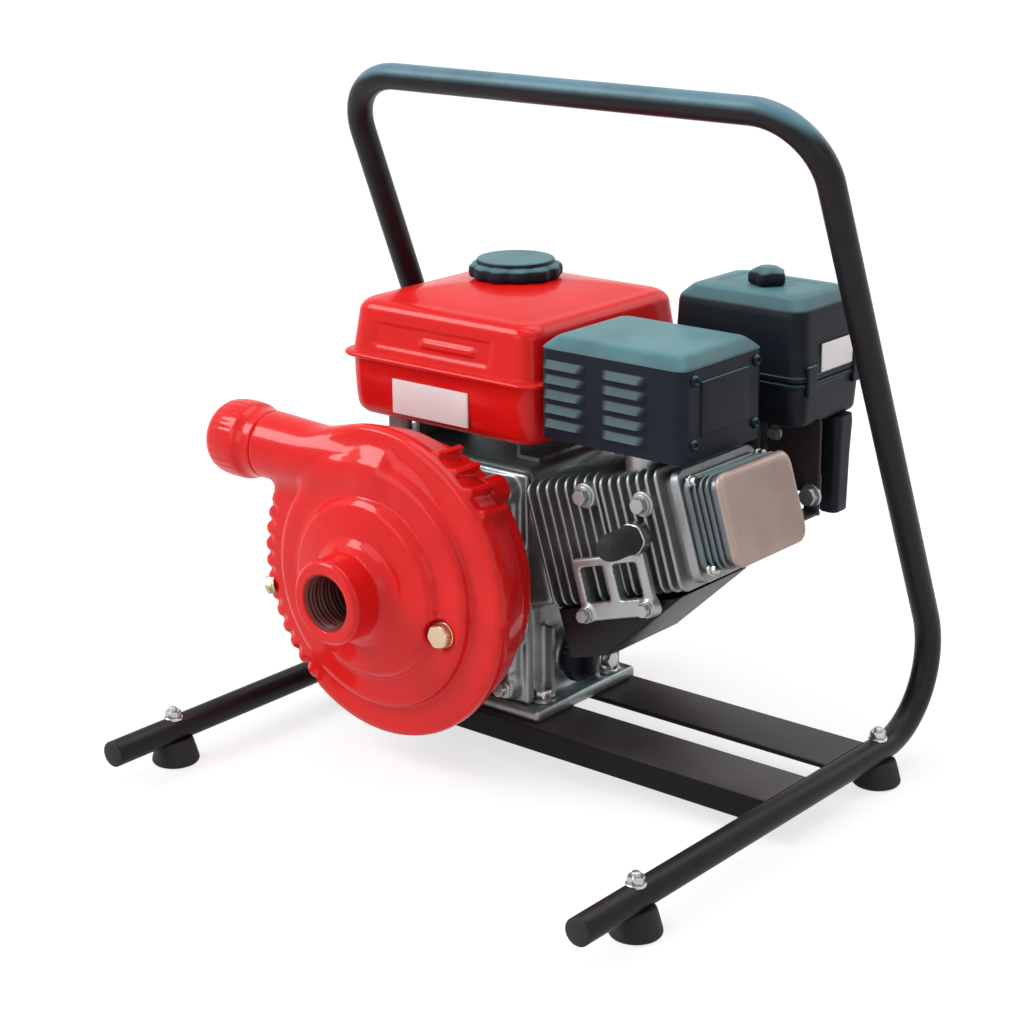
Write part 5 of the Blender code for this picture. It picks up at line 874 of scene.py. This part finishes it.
def engine():
    """Crankcase, cover, fins, head and rocker cover: cast forms and plates along the cylinder."""
    case = cast(d_crankcase, (-188, 14, 30), (92, 140, 240), 2.2)
    fins = plates(np.linspace(98, 159, 8), 2.6, 50, 46, 0.9, 10)
    put("crankcase_casting", joined(case, *fins), ALUMINIUM, "crankcase", sharp=50)
    cover = cast(d_cover, (-172, 8, 40), (0, 33.5, 222), 1.7)
    put("cover_casting", cover, ALUMINIUM, "crankcase_side_cover", sharp=50)
    heads = [bolt((x, 12.1, z), FRONT, 10, 4.8, 6.8, x * 0.04) for x, z in COVER_BOLTS if x > -30]
    put("cover_bolts", joined(*heads), ZINC)
    head = plates((163.3,), 66, 41, 36.5, 2, 8)
    head += plates(np.linspace(164, 212, 7), 2.8, 50, 43, 1, 8)
    head += plates((221.5,), 7.8, 46.5, 39.5, 1.5, 10)
    put("head_casting", joined(*head), ALUMINIUM, "cylinder_head", sharp=50)
    # The walls take the painted-shade grey and the lid the painted-light tan of the one pressing
    walls = rocker_skin([(30, 0), (0, 0), (0, 5), (3.4, 5.6), (3.6, 25), (30, 25)], 1.2, 4)
    ribs = plates((237.2, 242.4, 247.6), 2.2, 42.8, 32.5, 0.8, 9)
    put("rocker_walls", joined(walls, *ribs), ROCKER_WALL_PAINTED_SHADE, "rocker_cover", sharp=45)
    lid = [(30, 24.8), (1.8, 24.8), (1.4, 28.2), (4, 31.2), (8.5, 32), (11, 31.4), (32, 31.4)]
    put("rocker_lid", rocker_skin(lid, 1.8, 6), ROCKER_LID_PAINTED_LIGHT, sharp=45)
    out = (TILT_COS, 0, TILT_SIN)
    heads = [bolt(cylinder_spot(234.6, y, t), out, 6.4, 4, 4.4) for y in (30, 110) for t in (-30.5, 30.5)]
    put("rocker_bolts", joined(*heads), ZINC)


def shroud_pan():
    """The air pan under the cylinder: rounded rectangles from its rim to a short floor, inside and out."""
    sheet = 2
    end = np.array((208, 207, 140.5, 137, 130, 108))
    t = -46.3 - np.array((0, 0.8, 33.5, 35.5, 36, 36))
    squeeze = np.array((0, 0, 0, 0.8, 6, 40))
    start = 98 + np.array((0, 0, 0, 0.6, 4, 6))
    outer = rings_of(start, end, 22 + squeeze, 108 - squeeze, 5.8, t, 10)
    inner = rings_of(start + sheet, end - sheet, 22 + sheet + squeeze, 108 - sheet - squeeze, 4,
                     t + sheet * np.array((0, 0, 1, 1, 1, 1)), 10)
    # The high flag keeps the painted sheen off this low pan
    put("shroud_pan", up_cylinder(skin(np.concatenate((inner[::-1], outer)))), FRAME_BLACK, "lower_shroud",
        high_painted_sheen=True)


def front_bracket():
    """A cast stay in front of the fins, in the cylinder's axes: a plate with two windows and two bosses."""
    def distance(p):
        q = in_cylinder(p)
        body = d_box(q, (130, 12, -54.5), (194, 19.5, -10), 2.2)
        for d in (137, 166):
            body = carve(body, d_box(q, (d, 0, -42), (d + 21, 50, -16), 3), 1.2)
        for d in (135, 189):
            body = blend(body, d_rod(q, (d, 20.5, -49), (d, 10, -49), 6.2), 2)
        return body
    put("front_bracket", cast(distance, (34, 8, 118), (118, 22, 200), 1.2), BRIGHT, sharp=50)
    heads = [bolt(cylinder_spot(d, 10.1, -49), FRONT, 8.6, 4.4, 5.8, d / 1000) for d in (135, 189)]
    for x, z in ((49, 215), (98, 218.5)):
        heads.append(turned([(0, 0), (9.5, 0), (8.8, 12.5), (0, 12.5)], 1, 4, 36, (x, 31, z), FRONT))
        heads.append(bolt((x, 18.6, z), FRONT, 10.5, 5, 7, x * 0.02))
    put("bracket_bolts", joined(*heads), BRIGHT)


def small_engine_parts():
    """Oil cap with a knurled rim and a bar, drain bolt, spark plug with its cap, and exhaust pipe, turned."""
    grip = [(0, 8.4), (15, 8.4), (18.5, 7.4), (19.5, 6), (19.5, 1.2), (18.5, 0), (0, 0)]

    def knurl(a, h, r):
        return -0.6 * (0.5 + 0.5 * np.cos(28 * a)) * (r > 18) * fade(-h, -7.2, 1)
    bar = block((-14, -3.2, 6), (14, 3.2, 15.6), 1.4, 2.6)
    cap = placed(joined(turned(grip, 0.9, 4, 168, wave=knurl), bar), (2.3, CYLINDER_Y, 72), RIGHT)
    put("oil_cap_moulding", cap, PLASTIC, "oil_filler_cap", "oil_filler_cap")
    put("case_drain_bolt", bolt((-2.2, 110, 56), RIGHT, 12, 6.2, 8.6), ZINC)
    spot = (95.7, 20, 195.6)
    nose = [(0, -2), (6, -2), (6.2, 12), (4.6, 14), (4.5, 34), (0, 34)]
    put("plug_nose", turned(nose, 0.8, 4, 40, spot, FRONT), CERAMIC, "spark_plug")
    put("plug_hexagon", placed(hexagon(20.5, 10), spot, FRONT), STEEL)
    boot = [(4.8, 10.6), (10.2, 10.6), (10.5, 13), (9.8, 15), (9.8, 30), (8.8, 36), (6.2, 40.5), (0, 40.6),
            (0, 34.5), (4.8, 34.5)]
    put("plug_boot", turned(boot, 1, 4, 48, spot, FRONT), RUBBER, "spark_plug_cap")
    pipe = [(12, 232), (15, 232), (15, 249.9), (12, 249.9)]
    put("exhaust_pipe", turned(pipe, 0.6, 3, 48, (83, 45, 0), loop=True), STEEL, "exhaust_stub")


def carburettor():
    """Carburettor body, bowl, flanges, stop screws and the rubber elbow to the air cleaner."""
    body = [block((57, 126, 188), (93, 159, 225), 3, 6), block((55, 120.3, 187), (95, 126.2, 226), 1, 4),
            block((55, 158.5, 189), (95, 164.3, 224), 1, 4)]
    bowl = [(0, 0), (6, 0), (6.4, 5), (16, 6.2), (19.2, 10), (19.4, 24), (20, 25), (20, 30), (16, 36),
            (0, 36.5)]
    body.append(turned(bowl, 1.8, 5, 72, (75, 142.3, 155)))
    body += [bolt((93, 131, z), RIGHT, 5.6, 3, 3.6) for z in (214, 221)]
    put("carburettor_body", joined(*body), ALUMINIUM, "carburettor", sharp=45)
    path = bent([(75, 164.6, 206.5), (75, 188.3, 206.5), (75, 188.3, 249.7)], (20,), 26)
    radius = 14.6 + 0.4 * np.cos(np.linspace(0, 1, len(path)) * 2 * pi * 5)
    put("intake_hose", sweep(path, radius, 40), RUBBER, "intake_elbow")


def cleaner_stay():
    """A folded sheet under the air cleaner as the zero of its distance: an upright, a leg and a foot."""
    def distance(p):
        body = d_box(p, (101, 164.5, 198), (145.5, 166.7, 252.5), 0.8)
        body = blend(body, d_box(p, (133, 164.5, 183), (145.5, 166.7, 212), 0.8), 3)
        return blend(body, d_box(p, (116, 116, 183), (145.5, 166.7, 185.2), 0.8), 2)
    put("cleaner_stay", cast(distance, (98, 113, 180), (149, 170, 256), 1.1), STAY_DARK, sharp=50)
    heads = [bolt((139.3, 164.6, 197), FRONT, 12.5, 5.6, 8.5), bolt((108.5, 164.6, 238), FRONT, 8, 4, 5.6)]
    put("stay_bolts", joined(*heads), BRIGHT)


def d_housing(p):
    """Distance to the fan housing: a turned drum with low ribs and a pad for the switch."""
    r, h, angle = shaft_frame(p)
    shell = d_turned(r, h, [
        (66, -126.3), (91.5, -126.3), (91.5, -205.5), (62.5, -205.5), (62.5, -204.5), (90.5, -204.5),
        (90.5, -127.3), (66, -127.3)]) - 0.6
    reach = np.maximum(np.abs(h + 166) - 34, np.abs(r - 91.5) - 1.5)
    shell = blend(shell, np.maximum(np.abs(spokes(angle, 12) * r) - 1.2, reach), 2)
    pad = d_box(p, (-22.5, 192, 195.8), (5, 215.8, 223.6), 3)
    return blend(shell, np.maximum(pad, 89.5 - r), 3)


def d_recoil(p):
    """Distance to the recoil cover: a turned dome with a ring of slots and a round eye for the line."""
    r, h, angle = shaft_frame(p)
    shell = d_turned(r, h, [
        (85.5, -206.6), (85.5, -235), (78, -244), (57.5, -250.7), (36, -250.7), (34, -249), (0, -249),
        (0, -247), (34.5, -247), (36.5, -248.7), (57, -248.7), (76.5, -242.2), (83.5, -234),
        (83.5, -206.6)]) - 0.5
    slot = np.maximum(np.abs(spokes(angle, 20) * r) - 3.6, np.abs(r - 66.5) - 10.5)
    shell = carve(shell, np.maximum(slot, h + 225), 1.2)
    eye = np.linalg.norm(p - shaft_spot(85.5, GRIP_ANGLE, -219.7), axis=1) - 13
    return blend(shell, np.maximum(eye, 83.5 - r), 3)


def fan_side():
    """Fan housing, recoil cover, switch and pull grip on the back: turned and cast forms about the crank
    axis. The line is a rod that runs out of the cover with the grip."""
    drum = cast(d_housing, (-184, 130, 42), (12, 220, 238), 1.9)
    put("fan_drum", drum, PLASTIC, "fan_housing", sharp=55)
    dome = cast(d_recoil, (-178, 212, 50), (6, 264, 232), 1.6)
    put("recoil_dome", dome, RED_GLOSS, "recoil_cover", sharp=55)
    out = np.array((cos(GRIP_ANGLE), 0, sin(GRIP_ANGLE)))
    place = np.array((CRANK_X, 229.7, CRANK_Z)) + out * 86.3
    bar = [(0, -45), (6, -45), (10, -41.5), (11, -36), (9.6, 0), (11, 36), (10, 41.5), (6, 45), (0, 45)]

    def ridges(a, h, r):
        wave = 0.5 + 0.5 * np.cos(h * 2 * pi / 7)
        return -0.5 * wave * fade(-np.abs(h), -32, 4) * (r > 8)
    bar = turned(bar, 3, 6, 48, place + out * 19, (-out[2], 0, out[0]), wave=ridges)
    stem = turned([(0, 0), (6, 0), (7.5, 8), (9, 13), (0, 13)], 1, 4, 36, place, out)
    put("pull_grip", joined(bar, stem), PLASTIC, "starter_grip", "starter_grip")
    path = place + np.outer(np.linspace(-12, 6, 25), out)
    line = put("pull_line", sweep(path, 2.2, 14), LINE, body=None)
    part_place(path[0])
    part_place(path[-1])
    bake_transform(line)
    knob = turned([(0, 0.2), (10, 0.2), (10, 4.5), (9.2, 6.2), (0, 6.2)], 0.8, 4, 60)
    bar = block((-8.8, -2.2, 4), (8.8, 2.2, 11), 1, 1.8)
    put("switch_knob", placed(joined(knob, bar), (-8.7, 216, 209.6), BACK), RED_GLOSS, "engine_switch",
        "engine_switch")
    heads = [bolt(shaft_spot(88.5, radians(a), -205.8), BACK, 7, 3.2, 4.6) for a in (0, 90, 180, 270)]
    put("recoil_bolts", joined(*heads), ZINC)


engine()
shroud_pan()
front_bracket()
small_engine_parts()
carburettor()
cleaner_stay()
fan_side()


# Every CAD node that still shows takes the finish of its slot

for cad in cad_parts.values():
    for place in cad.material_slots:
        place.material = SLOTS.get(place.material.name.split(".")[0], PLASTIC)


# Stage, light and camera

WHITE = (1, 1, 1, 1)


def background_rays(tree):
    """One for rays that come from the camera, from gloss or through glass, and nil for the rest."""
    path = node(tree, "ShaderNodeLightPath")
    seen = path.outputs["Is Camera Ray"]
    for kind in ("Is Glossy Ray", "Is Transmission Ray"):
        seen = maths(tree, "MAXIMUM", seen, path.outputs[kind])
    return seen


def framed(thing, columns, place):
    """The object with the given axes at the given place."""
    thing.matrix_world = Matrix(np.vstack((np.column_stack((columns, place)), (0, 0, 0, 1))).tolist())


def stage():
    """A pale floor that fades to white for the camera but keeps the shadow, a white sky and soft lamps."""
    mesh = bpy.data.meshes.new("floor")
    mesh.from_pydata([(-8, -8, 0), (8, -8, 0), (8, 8, 0), (-8, 8, 0)], [], [(0, 1, 2, 3)])
    added("floor", mesh)
    material = bpy.data.materials.new("floor_white")
    tree = empty_tree(material)
    matt = node(tree, "ShaderNodeBsdfDiffuse", [("Color", (0.8, 0.8, 0.8, 1))])
    glow = node(tree, "ShaderNodeEmission", [("Color", WHITE), ("Strength", 1.15)])
    lift = maths(tree, "MULTIPLY", background_rays(tree), 0.62)
    both = node(tree, "ShaderNodeMixShader", [(0, lift), (1, matt.outputs[0]), (2, glow.outputs[0])])
    node(tree, "ShaderNodeOutputMaterial", [("Surface", both.outputs[0])])
    mesh.materials.append(material)

    world = bpy.data.worlds.new("studio")
    bpy.context.scene.world = world
    tree = empty_tree(world)
    direction = node(tree, "ShaderNodeTexCoord").outputs["Generated"]
    rise = node(tree, "ShaderNodeSeparateXYZ", [(0, direction)]).outputs["Z"]
    height = ranged(tree, rise, 0, 0.9, 0.2, 0.75)
    strength = node(tree, "ShaderNodeMix", [("Factor", background_rays(tree)), ("A", height), ("B", 1)])
    sky = node(tree, "ShaderNodeBackground", [("Color", WHITE), ("Strength", strength.outputs["Result"])])
    node(tree, "ShaderNodeOutputWorld", [("Surface", sky.outputs[0])])

    lamps = [("key", "SUN", (-0.95, -0.8, 1.25), 2.1, "angle", radians(28)),
             ("front", "AREA", (-0.5, -1.8, 0.9), 6, "size", 1),
             ("fill", "AREA", (1.9, -0.9, 1), 4, "size", 1.2),
             ("top", "AREA", (0.1, 0.4, 2), 20, "size", 1.5),
             ("rim", "AREA", (0.6, 1.8, 1.2), 8, "size", 1.2)]
    aim = (0, 0, 0.2)
    for name, kind, place, power, softness, value in lamps:
        lamp = bpy.data.lights.new(name, kind)
        lamp.energy = power
        setattr(lamp, softness, value)
        framed(added(name, lamp), basis(np.subtract(place, aim)), place)


def camera():
    """The photo's own camera, solved from the frame: yaw, pitch and roll about its place."""
    yaw, pitch, roll = -0.6968, 0.311, -0.0103
    place = (0.971, -1.1831, 0.6806)
    ahead = np.array((sin(yaw) * cos(pitch), cos(yaw) * cos(pitch), -sin(pitch)))
    right = np.array((cos(yaw), -sin(yaw), 0))
    up = np.cross(right, ahead)
    c, s = cos(roll), sin(roll)
    eye = added("camera", bpy.data.cameras.new("camera"))
    eye.data.sensor_width = 36
    eye.data.lens = 79.85
    framed(eye, np.column_stack((right * c + up * s, up * c - right * s, -ahead)), place)
    bpy.context.scene.camera = eye


stage()
camera()
bpy.context.scene.view_settings.view_transform = "Standard"
